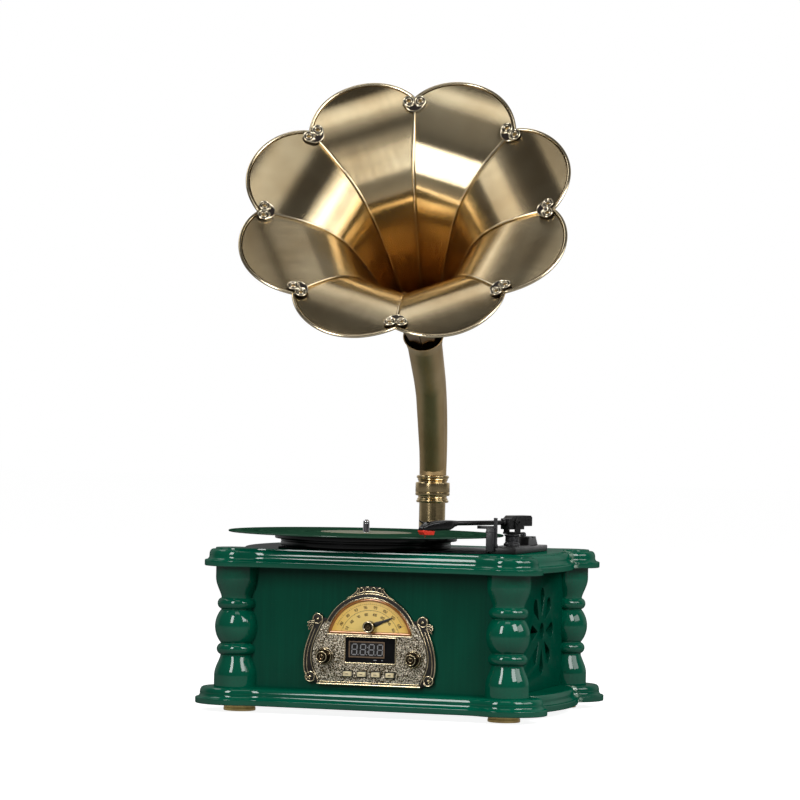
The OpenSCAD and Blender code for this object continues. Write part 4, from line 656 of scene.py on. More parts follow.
# Side panels with the cut-out flower
FLOWER_Y, FLOWER_Z, FLOWER_D, EYE_D, PETAL_IN, PETAL_W = 17, WALL_Z + 64, 95.5, 18, 16.5, 16
IN_X, IN_Y = CX - PANEL_T, CY - PANEL_T
petal_mid = (FLOWER_D - PETAL_W) / 2
petal_half = 90 + degrees(asin(PETAL_W / 2 / (petal_mid - PETAL_IN)))
drop = [(PETAL_IN, 0)] + arc(petal_mid, 0, PETAL_W / 2, -petal_half, petal_half, 28)
loops = [box_loop(-IN_Y, WALL_Z, IN_Y, TOP_Z, 0), circle(FLOWER_Y, FLOWER_Z, EYE_D / 2)]
for k in range(8):
    c, s = cos(rad(45 * k)), sin(rad(45 * k))
    loops.append([(FLOWER_Y + x * c - y * s, FLOWER_Z + x * s + y * c) for x, y in drop])
side_plate = plate(loops, 0, PANEL_T, 0.7, 3)
for side, x in (("left", -CX), ("right", IN_X)):
    piece(f"side_panel_{side}", side_plate, "green_panel", "cabinet",
          [f"{side}_panel"], at=moved(x) @ SIDE)

# Feet: brass cups with a groove
FOOT_R, FOOT_H, FOOT_IN = 17.5, 8, 4
foot = turned(rounded([(14, 3.2), (14, 0, 0.4), (FOOT_R, 0, 1), (FOOT_R, 3.2, 0.3), (17, 3.5, 0.2),
                       (17, 4.3, 0.2), (FOOT_R, 4.6, 0.3), (FOOT_R, FOOT_H, 0.5), (2, FOOT_H)],
                      0.5, 4), 72)
feet = [placed(foot, moved(sx * (CX - FOOT_IN), sy * (CY - FOOT_IN))) for sx, sy in CORNERS]
piece("brass_feet", feet, "foot_brass", "cabinet", ["feet"])

# ---- Turntable: heights of the hub, skirt, rim, record, mat and groove ----
HUB_Z, SKIRT_Z = DECK_Z + 1.2, DECK_Z + 2
RIM_Z = SKIRT_Z + 8
RECORD_Z = RIM_Z + 6.4
MAT_Z, PLAY_Z = RECORD_Z - 1.5, RECORD_Z + 1.7
UNDER_Z = MAT_Z - 4
BORE, PLATTER_R, SKIRT_R, RECORD_R, LABEL_R = 3.8, 100, 93.5, 151, 50


def spun(name, profile, steps, look, replaces, z=0):
    piece(name, turned(profile, steps, True), look, "turntable", replaces, 30,
          SPIN @ moved(z=z))


spun("gloss_platter", rounded([
    (BORE, HUB_Z), (10, HUB_Z), (10, UNDER_Z), (56, UNDER_Z), (56, SKIRT_Z), (58, SKIRT_Z),
    (58, UNDER_Z), (91, UNDER_Z), (91, SKIRT_Z), (SKIRT_R, SKIRT_Z, 1),
    (SKIRT_R, SKIRT_Z + 5, 0.4), (SKIRT_R - 0.6, SKIRT_Z + 5.6), (SKIRT_R, SKIRT_Z + 6.2, 0.4),
    (SKIRT_R, RIM_Z - 0.6, 0.6), (95.5, RIM_Z, 0.4), (PLATTER_R, RIM_Z, 1.2),
    (PLATTER_R, RECORD_Z, 1.6), (97, RECORD_Z, 0.5), (97, MAT_Z), (BORE, MAT_Z)], 0.3, 5),
     160, "black_gloss", ["platter"])
ribs = [(r + 4 * k, d) for k in range(23) for r, d in ((6, 0), (7.6, 0), (8, -0.5), (9.6, -0.5))]
spun("ribbed_mat", [(BORE, -1.5)] + ribs + [(96, -0.4), (96, -1.5)], 120,
     "mat_rubber", ["platter_mat"], RECORD_Z)
spun("pressed_record", rounded([
    (BORE, 0), (52, 0, 0), (54, 0.3, 0.2), (146, 0.3), (148, 0, 0.4), (RECORD_R, 0, 0.7),
    (RECORD_R, 1.7, 0.7), (148, 1.7, 0.6), (146, 1.35, 0.4), (53, 1.35), (51, 1.6),
    (LABEL_R + 0.2, 1.45, 0), (BORE, 1.45)], 0.3, 5), 200, "record_vinyl",
     ["record"], RECORD_Z)
spun("paper_label", rounded([
    (BORE, -0.2), (LABEL_R, -0.2, 0), (LABEL_R, -0.02), (46, 0), (17, 0), (16.6, -0.08, 0),
    (16.2, 0), (4.2, 0)], 0.1, 3), 140, "record_label", (), PLAY_Z)
TAIL_Z = DECK_Z - 28.8
spindle = turned(rounded([
    (3, TAIL_Z, 0), (3.8, TAIL_Z + 0.6, 0.2), (3.8, PLAY_Z, 0.1), (3.6, PLAY_Z + 0.2, 0.1),
    (3.6, PLAY_Z + 9.8, 0.2), (3.35, PLAY_Z + 10, 0.1), (3.35, PLAY_Z + 10.5, 0.1),
    (3.6, PLAY_Z + 10.7, 0.2), (3.5, PLAY_Z + 12.2, 1.2), (1.6, PLAY_Z + 13.8, 1.2),
    (0.2, PLAY_Z + 14, 0)], 0.3, 6), 48)
clip = placed(turned([(3.8, 1), (5.8, 1), (5.8, 2.5), (3.8, 2.5)], 48, True), moved(z=TAIL_Z))
piece("centre_spindle", [spindle, clip], "spindle_chrome", "turntable",
      ["spindle"], 30, SPIN)

# ---- Tonearm ----
ARM_X, ARM_Y, TUBE_Z, ARM_PARK, ARM_LEN = 130, -31, DECK_Z + 33, 26, 141
ARM = moved(ARM_X, ARM_Y, TUBE_Z) @ turned_by("Z", -90 - ARM_PARK)
BLOCK_W, REAR, BLOCK_LOW, REAR_H = 13, 26, -7.4, 15
HALF_W, block_top = BLOCK_W / 2, BLOCK_LOW + REAR_H


def cut(points, low, high, bevel=0.0, r=0.5, steps=3):
    """A plate of the outline with its corners rounded."""
    return plate([rounded(points, r, steps, True)], low, high, bevel)


rear = [
    cut([(-REAR, block_top - 11.5), (-13, block_top - 11.5), (-13, BLOCK_LOW),
         (12, BLOCK_LOW, 0.8), (12, 4.4, 0.8), (8, block_top - 3, 0.8), (4, block_top, 0.8),
         (2 - REAR, block_top, 0.8), (-REAR, block_top - 2, 0.8)], -HALF_W, HALF_W, 0.6, 0.6),
    cut([(3 - REAR, -1.5), (-15, -1.5), (-15, block_top - 2.5), (3 - REAR, block_top - 2.5)],
        -HALF_W - 0.25, HALF_W + 0.25, 0.2, 0.8),
    turned(rounded([(0.2, -9), (1.5, -9), (1.5, 9), (0.2, 9)], 0.3, 3), 32)]
for x, z, r in ((-20.5, 3.4, 1.3), (5, 2.2, 1.0)):
    pin = rounded([(0.2, 0), (r, 0), (r, BLOCK_W + 1.2), (0.2, BLOCK_W + 1.2)], 0.3, 3)
    rear.append(placed(turned(pin, 24), moved(x, z, -HALF_W - 0.6)))
piece("arm_block", rear, "black_satin", "tonearm", ["arm_rear_block"], 30,
      ARM @ FRONT)
SHELL_BACK, ROD_R, CUFF_R = ARM_LEN - 49, 2.6, 3.6
rod_end = SHELL_BACK + 8
rod = [turned(rounded([(0.2, 6), (ROD_R, 6), (ROD_R, rod_end), (0.2, rod_end)], 0.2, 3), 40),
       turned(rounded([(ROD_R, 12.2), (CUFF_R, 12.2), (CUFF_R, 17, 0.6), (ROD_R, 17)],
                      0.4, 3, True), 40, True)]
piece("arm_rod", rod, "black_gloss", "tonearm", ["arm_tube"], 40,
      ARM @ turned_by("Y", 90))


def lofted(rows, sides, power=0.42):
    """A form with rounded box sections (place, low, high, half width) along the arm."""
    rings = []
    for x, low, high, w in rows:
        mid, h = (low + high) / 2, (high - low) / 2
        rings.append([(x, w * copysign(abs(c) ** power, c), mid + h * copysign(abs(s) ** power, s))
                      for c, s in circle(0, 0, 1, sides)])
    return skin(rings)


shell = [(0, -3.2, 2.9, 3.0), (4, -3.8, 3.1, 4.2), (9, -5.6, 3.4, 6.0), (14, -7.3, 3.5, 7.0),
         (24, -7.5, 3.2, 7.0), (34, -7.5, 2.6, 6.9), (42, -7.5, 1.4, 6.2), (48, -7.5, -0.4, 5.2),
         (53, -7.4, -3.0, 4.2), (55.4, -6.8, -5.2, 2.8)]
crest = [(20, 3.0, 3.45, 2.4), (30, 2.2, 3.4, 3.2), (44, 0.8, 2.0, 2.0)]
finger = [(40, -6.2, 0), (43, -6.8, 0.4), (47, -6.9, 1.6), (50, -6.6, 3.2)]
head = [lofted(shell, 28), lofted(crest, 20), tube(finger, [0.9, 0.9, 0.8, 0.6], 10)]
piece("head_shell", head, "black_gloss", "tonearm", ["headshell"], 50,
      ARM @ moved(SHELL_BACK))
STYLUS_Z = PLAY_Z - TUBE_Z + 0.3
cartridge = cut([(ARM_LEN - 13, -7.3, 0.3), (ARM_LEN - 11, STYLUS_Z + 2.4, 0.8),
                 (ARM_LEN + 3, STYLUS_Z + 2.6, 0.6), (ARM_LEN + 6.4, -8.6, 0.4),
                 (ARM_LEN + 5.6, -6.6, 0.3)], -4, 4, 0.5)
stylus = turned([(0.15, 0), (0.4, 0.5), (0.4, 2), (0.2, 2)], 12)
piece("red_cartridge", [placed(cartridge, FRONT), placed(stylus, moved(ARM_LEN - 1, 0, STYLUS_Z))],
      "cartridge_red", "tonearm", ["cartridge"], 30, ARM)

# The console beside the turntable, and the thin dark plate on the deck
BASE_X0, BASE_Y0, BASE_W, BASE_LEN = ARM_X - 12, ARM_Y - 51, 30.5, 133
BASE_TOP = DECK_Z + 7
CONSOLE_X, CONSOLE_Y, CONSOLE_W = BASE_X0 + 6.25, ARM_Y + 24, 18
console = cut([(0, 0, 0.2), (10, 3, 1.2), (10, 12), (8.6, 12.4), (8.6, 20), (10, 20.4),
               (10, 30, 1.2), (0, 40, 0.2)], 0, CONSOLE_W, 0.5, 0.3)
bed = [
    block((BASE_X0, BASE_Y0, DECK_Z), (BASE_X0 + BASE_W, BASE_Y0 + BASE_LEN, BASE_TOP), 1.0),
    block((BASE_X0 + 1.6, BASE_Y0 + 1.6, BASE_TOP - 0.4),
          (BASE_X0 + BASE_W - 1.6, ARM_Y + 20, BASE_TOP + 0.9)),
    block((-115, -100, DECK_Z), (BASE_X0 - 0.4, 45, DECK_Z + 1.8)),
    placed(console, moved(CONSOLE_X + CONSOLE_W, CONSOLE_Y, BASE_TOP) @ turned_by("Y", -90))]
piece("arm_bed", bed, "black_satin", "cabinet", ["arm_base"], 30)
POST_H = TUBE_Z - 13 - BASE_TOP
grooves = [p for k in range(4) for p in ((7.5, 4.2 + 1.5 * k, 0.2), (7.5, 5.1 + 1.5 * k, 0.2),
                                         (6.9, 5.3 + 1.5 * k, 0.1), (6.9, 5.6 + 1.5 * k, 0.1))]
post = [(0.3, -3), (9, -3), (9, 2.6, 0.6), (7.8, 3.8, 0.4)] + grooves
post += [(8.5, POST_H - 1.2, 0.3), (8.5, POST_H, 0.4), (0.3, POST_H)]
piece("pivot_post", turned(rounded(post, 0.2, 3), 64), "grey_grain", "cabinet",
      ["arm_pivot_post"], 30, moved(ARM_X, ARM_Y, BASE_TOP))

YOKE_LOW, EAR_IN, EAR_T = -12.7, HALF_W + 0.3, 2.2
EAR_OUT = EAR_IN + EAR_T
yoke = [block((-5, -EAR_OUT, YOKE_LOW), (5, EAR_OUT, YOKE_LOW + 2.5), 0.4)]
ear = cut([(-4, YOKE_LOW, 0.3), (4, YOKE_LOW, 0.3), (4, 1.5, 2.6), (2.2, 4.5, 2.0),
           (-2.2, 4.5, 2.0), (-4, 1.5, 2.6)], 0, EAR_T, 0.3, 0.5, 4)
washer = turned(rounded([(1.55, 0), (3.1, 0, 0.1), (3.1, 0.8, 0.3), (1.55, 0.8)], 0.2, 3, True),
                32, True)
for s in (-1, 1):
    yoke.append(placed(ear, moved(0, EAR_OUT if s > 0 else -EAR_IN) @ FRONT))
    yoke.append(placed(washer, moved(0, s * EAR_OUT) @ turned_by("X", -90 * s)))
piece("gimbal_yoke", yoke, "black_satin", "arm_carrier", ["arm_yoke"], 30, ARM)

# The arm's rest: heights from the console, and its clip under the arm's tube
REST_X, REST_Y, REST_H = BASE_X0 - 1.8, BASE_Y0 - 5, TUBE_Z - 4.9 - BASE_TOP
CLIP_H = TUBE_Z - 2.9 - BASE_TOP
clip_x = ARM_X - REST_X - (ARM_Y - REST_Y - 10.75) * tan(rad(ARM_PARK)) - 4
PIN_H = TUBE_Z - BASE_TOP
pin = [(0.3, 0), (3, 0), (3, 3, 0.4), (2.2, 3.6, 0.2), (2.2, PIN_H + 3.4, 0.2),
       (1.9, PIN_H + 3.7, 0.1), (1.9, PIN_H + 4.1, 0.1), (2.2, PIN_H + 4.4, 0.2),
       (2.1, PIN_H + 5.9, 0.6), (0.3, PIN_H + 6)]
rest = [block((0, 0, -4), (8.2, 5.2, REST_H), 0.6),
        block((0.2, 4.8, 0.1), (8, 8.5, REST_H - 0.6), 0.4),
        block((-0.35, -0.3, REST_H - 5), (8.4, 4.6, REST_H - 3.6), 0.3),
        block((clip_x, 7.9, CLIP_H - 3.4), (8.2, 13, CLIP_H - 0.1)),
        placed(turned(rounded(pin, 0.3, 4), 40), moved(8.3, 8.5))]
piece("rest_block", rest, "grey_grain", "cabinet", ["arm_rest"], 30,
      moved(REST_X, REST_Y, BASE_TOP))

# ---- Front plate: drawn in x and z, with its depth from the cabinet's front ----
LOW_Z, ARCH_R, GROUND = WALL_Z + 6, 54, 4.0
TUNE_Z, DIAL_LOW, DIAL_R = ARC_Z + 18, ARC_Z + 9.5, 48
WINDOW_X, WINDOW_Z, WINDOW_W, WINDOW_H = 1.0, WALL_Z + 45, 56, 27
KNOB_X, KNOB_Z, BUTTON_Z = 50, WALL_Z + 37, WALL_Z + 19
BUTTON_PITCH, BUTTON_HOLE = 16, (4.9, 2.9)
BUTTONS = [(i, (i - 2.5) * BUTTON_PITCH) for i in range(1, 5)]
LOW_SCROLL, HIGH_SCROLL = (66.5, LOW_Z + 8.6), (59.2, ARC_Z + 24.6)
FACE = moved(y=-CY) @ FRONT


def front(name, shape, look, replaces=(), angle=40, body="cabinet"):
    piece(name, shape, look, body, replaces, angle, FACE)


def dial_loop(grow):
    r, low = DIAL_R + grow, DIAL_LOW - grow
    end = degrees(asin((low - ARC_Z) / r))
    points = arc(0, ARC_Z, r, end, 180 - end, 60)
    points[0] += (3.2,)
    points[-1] += (3.2,)
    return rounded(points, 0, 5, True)


def window_loop(grow, r):
    return box_at(WINDOW_X, WINDOW_Z, WINDOW_W / 2 + grow, WINDOW_H / 2 + grow, r)


side_line = smooth([(66.5, 37.5), (71.4, 42.5), (73.4, 49), (73.9, 57), (73.4, 65), (71.8, 73.5),
                    (69.2, 82), (66.2, 90), (63.6, 96.5)])
inner_line = smooth([(57.5, 36), (59.6, 41.5), (62.8, 47.8), (65.2, 55), (66, 64), (64.8, 73.2),
                     (62, 82.3), (58.2, 91.3), (53.6, 100.4)])
field_side = smooth([(56, LOW_Z + 5), (57.8, 41.5), (61, 47.8), (63.4, 55), (64.2, 64), (63, 73.2),
                     (60.2, 82.3), (56.4, 91.3), (51.2, 100.4)], 5)
right_edge = ([(0, LOW_Z), (57, LOW_Z)] + arc(*LOW_SCROLL, 6.8, -128, -20, 12)
              + [tuple(p) for p in side_line if 46 < p.y < 93]
              + arc(*HIGH_SCROLL, 6.2, -62, 168, 18) + arc(0, ARC_Z, ARCH_R, 27.5, 66, 18)
              + [(20, 129.4), (14.5, 134)] + arc(9.6, 135, 4.2, 10, 130, 8)
              + arc(3.2, 135.8, 3.8, 40, 90, 5))
ground = right_edge + [(-x, y) for x, y in right_edge[:0:-1]]
field = list(field_side) + arc(0, ARC_Z, 48.9, 26, 154, 40) + [(-x, y) for x, y in field_side[::-1]]
openings = [dial_loop(0.2), window_loop(0.2, 0.6)]
openings += [box_at(x, BUTTON_Z, *BUTTON_HOLE, 0.4) for i, x in BUTTONS]
openings += [circle(s * KNOB_X, KNOB_Z, 3.4, 32) for s in (-1, 1)]
front("fascia_ground", plate([ground] + openings, 0, GROUND, 0.4), "bronze_dark",
      ["fascia"])
front("fascia_field", plate([field] + openings, GROUND - 0.3, GROUND + 0.35, 0.1),
      "bronze_ground")

ribs = []


def rib(points, r, depth=GROUND, sides=10, closed=False):
    ribs.append(tube(laid(points, depth), r, sides, closed))


def rib_pair(points, r, depth=GROUND, sides=10):
    for line in both(points):
        rib(line, r, depth, sides)


def taper(line, thick, thin):
    """A radius for each point, thin at the line's ends and thick between them."""
    places = [(i + 0.5) / len(line) for i in range(len(line))]
    return [thin + (thick - thin) * sin(pi * t) ** 0.5 for t in places]


def shifted(line, dx):
    """The line moved sideways, to its left by dx."""
    out, last = [], len(line) - 1
    for i, p in enumerate(line):
        t = (line[min(i + 1, last)] - line[max(i - 1, 0)]).normalized()
        out.append((p.x - t.y * dx, p.y + t.x * dx))
    return out


rib_pair(side_line, taper(side_line, 0.85, 0.5), GROUND + 0.2)
middle_line = shifted(side_line[4:-3], 3.3)
rib_pair(middle_line, taper(middle_line, 0.6, 0.35), GROUND + 0.1)
rib_pair(inner_line, taper(inner_line, 0.65, 0.5), GROUND + 0.2)
rib([(-58, LOW_Z + 1.3), (58, LOW_Z + 1.3)], 1.25)
rib([(-56, LOW_Z + 4.0), (56, LOW_Z + 4.0)], 0.55)
rib(arc(0, ARC_Z, ARCH_R - 0.7, 22, 158, 72), 0.65, GROUND + 0.2)

# Scrolls: a curl round a stud at each corner
CURL_STEPS = 44
stud = turned([(1.8 * cos(rad(a)), 1.9 * sin(rad(a))) for a in (0, 20, 40, 60, 75, 88)], 24)
for (x, y), begin, sweep in ((LOW_SCROLL, -150, 460), (HIGH_SCROLL, 215, -450)):
    curl, radii = [], []
    for t in (k / CURL_STEPS for k in range(CURL_STEPS + 1)):
        r, a = 5.7 - 0.9 * t, rad(begin + 0.8 * sweep * t)
        curl.append((x + r * cos(a), y + r * sin(a)))
        radii.append(0.95 - 0.4 * t)
    rib_pair(curl, radii, GROUND + 0.4)
    ribs += [placed(stud, moved(s * x, y, GROUND - 0.1)) for s in (-1, 1)]

# Fronds beside the upper scrolls: a dark blade between two thin ribs
fronds = []
for root, tip, bow in (((63.6, 99.4), (70.6, 98.6), 0.8), ((63.6, 98.0), (70.8, 94.8), 1.0),
                       ((64.0, 96.4), (69.4, 91.0), 0.8)):
    a, b = Vector(root), Vector(tip)
    out = Vector((a.y - b.y, b.x - a.x)).normalized()
    left_side, right_side = [], []
    for t in (i / 10 for i in range(11)):
        spine = a + (b - a) * t + out * bow * sin(pi * t)
        half = 1.2 * sin(pi * (0.12 + 0.88 * t)) ** 0.7
        left_side.append(spine + out * half)
        right_side.append(spine - out * half)
    for line in both(left_side + right_side[::-1]):
        line = line if line[0][0] > 0 else line[::-1]
        fronds.append(plate([line], 1.2, GROUND - 0.4, 0.3))
    for line in (left_side, right_side):
        rib_pair(line, 0.36, GROUND - 0.3, 8)
front("fascia_fronds", fronds, "bronze_dark")

# The crown's flutes, and the rims of the window, the dial and the knobs
rib_pair(smooth([(26, 126.2), (20.5, 129.6), (15.6, 134.2), (14.4, 138.2)]), 0.9)
rib(smooth([(-15, 131.6), (-8, 133.6), (0, 134.3), (8, 133.6), (15, 131.6)]), 0.8)
for x in (-10.2, -3.4, 3.4, 10.2):
    lift = 134.2 - abs(x) * 0.12
    rib([(x - 2.4, lift - 0.5), (x - 2.5, lift + 2.2)] + arc(x, lift + 2.6, 2.5, 180, 0, 10)
        + [(x + 2.5, lift + 2.2), (x + 2.4, lift - 0.5)], 0.55, GROUND + 0.3)
rib(window_loop(0.6, 1.2), 0.7, GROUND + 0.4, 10, True)
rib(dial_loop(1.0), 0.6, GROUND + 0.3, 10, True)
for s in (-1, 1):
    rib(circle(s * KNOB_X, KNOB_Z, 10.4, 56), 0.35, GROUND, 8, True)
front("fascia_ribs", ribs, "bronze_rib", (), 50)
recesses = [plate([[(-14.2, 133.4), (0, 135.6), (14.2, 133.4), (13.6, 137), (10, 139.4),
                    (-10, 139.4), (-13.6, 137)]], GROUND - 0.2, GROUND + 0.15, 0.1)]
for (x, y), r in ((HIGH_SCROLL, 4.6), (LOW_SCROLL, 4.8)):
    recesses += [plate([circle(s * x, y, r, 32)], GROUND - 0.2, GROUND + 0.12, 0.05)
                 for s in (-1, 1)]
recesses += [plate([box_at(x, BUTTON_Z, 6, 3.9, 0.8), box_at(x, BUTTON_Z, *BUTTON_HOLE, 0.4)],
                   GROUND, GROUND + 0.5, 0.1) for i, x in BUTTONS]
front("fascia_recesses", recesses, "bronze_dark")

# Dial: an amber plate in a bezel, with two scales
DIAL_FRONT, DIAL_MID_Z = 3.3, ARC_Z + 1.5
HIGH_ARC, LOW_ARC = 40.5, 34
front("dial_face", plate([dial_loop(0)], 2.4, DIAL_FRONT, 0.1), "dial_amber",
      ["dial_plate"])
front("dial_bezel", tube(laid(dial_loop(-1.3), DIAL_FRONT), 1.6, 12, True), "dial_rim",
      (), 60)


def polar(r, a):
    return (r * cos(rad(a)), DIAL_MID_Z + r * sin(rad(a)))


def ink_line(points, thick, sides=5):
    ink.append(tube(laid(points, DIAL_FRONT + 0.02), thick, sides))


ink = []
ink_line([polar(LOW_ARC, a) for a in range(17, 164, 2)], 0.16, 6)
ink_line([polar(HIGH_ARC, a) for a in range(24, 157, 2)], 0.1, 6)
for k in range(41):
    a, long = 26 + 3.2 * k, 1.9 if k % 5 == 0 else 1.0
    ink_line([polar(HIGH_ARC, a), polar(HIGH_ARC + long, a)], 0.14)
    if k % 2 == 0:
        ink_line([polar(LOW_ARC, a), polar(LOW_ARC - 0.6 * long, a)], 0.12)
SEGMENTS = {"a": ((0, 1), (1, 1)), "b": ((1, 1), (1, 0.5)), "c": ((1, 0.5), (1, 0)),
            "d": ((0, 0), (1, 0)), "e": ((0, 0.5), (0, 0)), "f": ((0, 1), (0, 0.5)),
            "g": ((0, 0.5), (1, 0.5))}
DIGITS = ["abcdef", "bc", "abged", "abgcd", "fgbc", "afgcd", "afgedc", "abc", "abcdefg", "abcdfg"]
# Each scale's generic numbers, its radius, first angle, sweep and height of the numbers
for numbers, r, first, sweep, height in (
        ((88, 90, 93, 96, 99, 102, 105, 108), 37.3, 150, 120, 2.6),
        ((53, 60, 70, 80, 100, 120, 140, 160), 29.6, 152, 124, 2.4)):
    wide, pitch = 0.5 * height, 0.8 * height
    for k, number in enumerate(numbers):
        a, text = first - k * sweep / 7, str(number)
        spot = moved(*polar(r, a), DIAL_FRONT + 0.03) @ turned_by("Z", a - 90)
        for i, digit in enumerate(text):
            x0 = (i - len(text) / 2) * pitch + 0.15 * height
            for mark in DIGITS[int(digit)]:
                line = [(x0 + wide * x, height * (y - 0.5), 0) for x, y in SEGMENTS[mark]]
                ink.append(placed(tube(line, 0.26, 5), spot))
dot = turned([(1.2, -0.03), (1.2, 0.03)], 20)
ink.append(placed(dot, moved(*polar(38.4, 27), DIAL_FRONT + 0.06)))
front("dial_scale", ink, "dial_ink", (), 60)

# Knobs: a fluted skirt and a fluted grip with a dished tip
KNURL, KNOB_BACK = 28, 6
skirt = [(3, -14), (3, 0.3, 0), (9.3, 0.3, 0.3), (9.5, 1.4, 0.4), (9.5, 3.2, 0.5), (8.7, 4.2, 0.5),
         (7.4, 4.4, 0.3), (6.7, 5.0, 0.4), (6.5, 6.4)]
grip = [(6.5, 6.4), (6.3, 10.6, 0.3), (5.6, 11.7, 0.6), (4.6, 11.9, 0.4), (3.6, 11.2, 0.5),
        (2.2, 10.6, 0.5), (1.2, 10.9, 0.4), (0.2, 11.1)]
knob = [fluted(turned(dense(rounded(line, 0.3, 4)), 224), low, high, KNURL, depth)
        for line, low, high, depth in ((skirt, 0.9, 3.5, 0.45), (grip, 6.6, 10.4, 0.28))]
rings = [tube(laid(circle(0, 0, r, 56), z), thick, 8, True) for r, z, thick in (
    (9.35, 0.75, 0.34), (8.3, 4.35, 0.3), (5.55, 11.6, 0.42), (2.3, 10.75, 0.2))]
for s, title in ((-1, "volume"), (1, "mode")):
    spot = FACE @ moved(s * KNOB_X, KNOB_Z, KNOB_BACK)
    piece(f"{title}_knob_body", knob, "knob_bronze", f"{title}_control",
          [f"{title}_knob"], 30, spot)
    piece(f"{title}_knob_rings", rings, "knob_edge", f"{title}_control", (), 60,
          spot)

# The dial's pointer and the tuning knob on it, at depths from the pointer's back
POINTER_Z = DIAL_FRONT + 0.3
spot = FACE @ moved(0, TUNE_Z, POINTER_Z)
pointer = cut([(-5.4, -1.2, 0.6), (0, -2.6, 1), (8, -2.5, 0.5), (15, -1.5, 1), (21, -1.5, 0.5),
               (27, -0.6, 0.3), (27, 0.5, 0.3), (21, 1.0, 0.3), (14, 1.5, 1), (8, 2.3, 0.5),
               (0, 2.6, 1), (-5.4, 1.2, 0.6)], 0, 0.9, 0.2)
piece("tuning_pointer", pointer, "pointer_black", "tuner", ["dial_pointer"], 40,
      spot @ turned_by("Z", 22))
grip = [(3, -12 - POINTER_Z), (3, 1), (6.4, 1), (6.5, 3.5), (6.2, 7.2, 0.5), (5.2, 7.9, 0.4),
        (4.1, 7.2), (3.4, 6.2), (1.4, 6), (0.2, 6.2)]
piece("tuning_knob_body", fluted(turned(dense(rounded(grip, 0.3, 5)), 192), 1.3, 6.8, 24, 0.22),
      "knob_bronze", "tuner", ["tuning_knob"], 30, spot)
piece("tuning_knob_ring", tube(laid(circle(0, 0, 5.35, 48), 7.6), 0.9, 10, True), "knob_edge",
      "tuner", (), 60, spot)

# Display: a black window, a grey frame round four digits
front("display_glass", plate([window_loop(0, 0.8)], 2.3, 3.8, 0.15), "display_glass",
      ["display_window"])
LED_X, LED_Z, LED_W, LED_H = -3.2, WINDOW_Z + 0.6, 40.5 / 2, 17.6 / 2
LED_FRONT = 3.85
bezel = [box_at(LED_X, LED_Z, LED_W - edge, LED_H - edge, r) for edge, r in ((0, 0.5), (1.3, 0.3))]
front("display_bezel", plate(bezel, 3.75, 4.0, 0.08), "display_bezel")
panel = box_at(LED_X, LED_Z, LED_W - 1.2, LED_H - 1.2, 0.3)
front("display_panel", plate([panel], 3.7, 3.86, 0.04), "display_back")
DIGIT_PITCH, DIGIT_W, DIGIT_H, HALF_T, GAP = 9.6, 5.6, 11.2, 0.5, 0.35
DIGIT_LEAN = 0.06 * DIGIT_H
flat = []
for k in range(4):
    x0, y0 = LED_X - 16.9 + DIGIT_PITCH * k, LED_Z - DIGIT_H / 2
    for ends in SEGMENTS.values():
        a, b = (Vector((x0 + DIGIT_W * x + DIGIT_LEAN * y, y0 + DIGIT_H * y)) for x, y in ends)
        u = (b - a).normalized()
        v = HALF_T * Vector((-u.y, u.x))
        a, b, u = a + u * GAP, b - u * GAP, HALF_T * u
        flat.append([a, a + u + v, b - u + v, b, b - u - v, a + u - v])
    flat.append(circle(x0 + DIGIT_W + 1.7, y0 + 0.2, 0.55, 14))
flat += [circle(LED_X + 0.9, LED_Z + z, 0.6, 14) for z in (-2.4, 2.4)]
marks = [plate([loop], LED_FRONT, LED_FRONT + 0.07, 0.01, 0) for loop in flat]
marks += [plate([box_at(x, WINDOW_Z - 10.5, half, 0.4, 0.3)], 3.79, 3.86, 0.01, 0)
          for x, half in ((6.5, 1.8), (14.5, 0.9))]
front("display_digits", marks, "display_digit")

# Buttons: a cap with a dish and a printed dash
for i, x in BUTTONS:
    cap = [plate([box_at(x, BUTTON_Z, 4.5, 2.5, 0.7)], -6, 7.6, 0.45, 3),
           plate([box_at(x, BUTTON_Z, 2.7, 1.1, 0.5)], 7.5, 7.8, 0.12, 3)]
    front(f"press_button_{i}", cap, "button_brass", [f"button_{i}"], 35,
          f"push_{i}")
    front(f"button_dash_{i}", plate([box_at(x, BUTTON_Z, 1.7, 0.35, 0.2)], 7.75, 7.84, 0.02),
          "dial_ink", (), 35, f"push_{i}")

# ---- Pipe and horn ----
PIPE_X, PIPE_Y = -7.5, 125
PIPE = moved(PIPE_X, PIPE_Y)
PIPE_R, COLLAR_Z, COLLAR_H, COLLAR_R = 14.9, DECK_Z + 48, 31, 19.5
BORE_R, RING_OUT, FLANGE_R = PIPE_R - 1.3, PIPE_R + 3.5, 21
pipe_top = COLLAR_Z + 7 - DECK_Z
stand = rounded([(BORE_R, 0), (FLANGE_R, 0, 0.2), (FLANGE_R, 1.6, 0.5), (19.8, 2.4), (19.2, 3),
                 (PIPE_R + 0.9, 3, 0.4), (PIPE_R, 4, 0.5), (PIPE_R, pipe_top, 0),
                 (BORE_R, pipe_top, 0)], 0.3, 5)
piece("stand_pipe", turned(stand, 96, True), "turned_brass", "cabinet",
      ["lower_pipe"], 40, PIPE @ moved(z=DECK_Z))
screw = [turned(rounded([(0.2, 0), (2.2, 0, 0.2), (2.2, 0.5), (1.2, 0.95, 0.6), (0.2, 1)], 0.4, 4),
               28),
         block((-1.9, -0.2, 0.7), (1.9, 0.2, 1.02), 0.05)]
screws = [placed(part, turned_by("Z", 30 + 120 * k) @ moved(18.2, 0, DECK_Z + 3))
          for k in range(3) for part in screw]
piece("flange_screws", screws, "screw_steel", "cabinet", (), 35, PIPE)
IN_1, IN_2 = RING_OUT - 1.0, RING_OUT - 1.8
GROOVE_R, LIP_R = PIPE_R + 1.4, COLLAR_R - 0.9
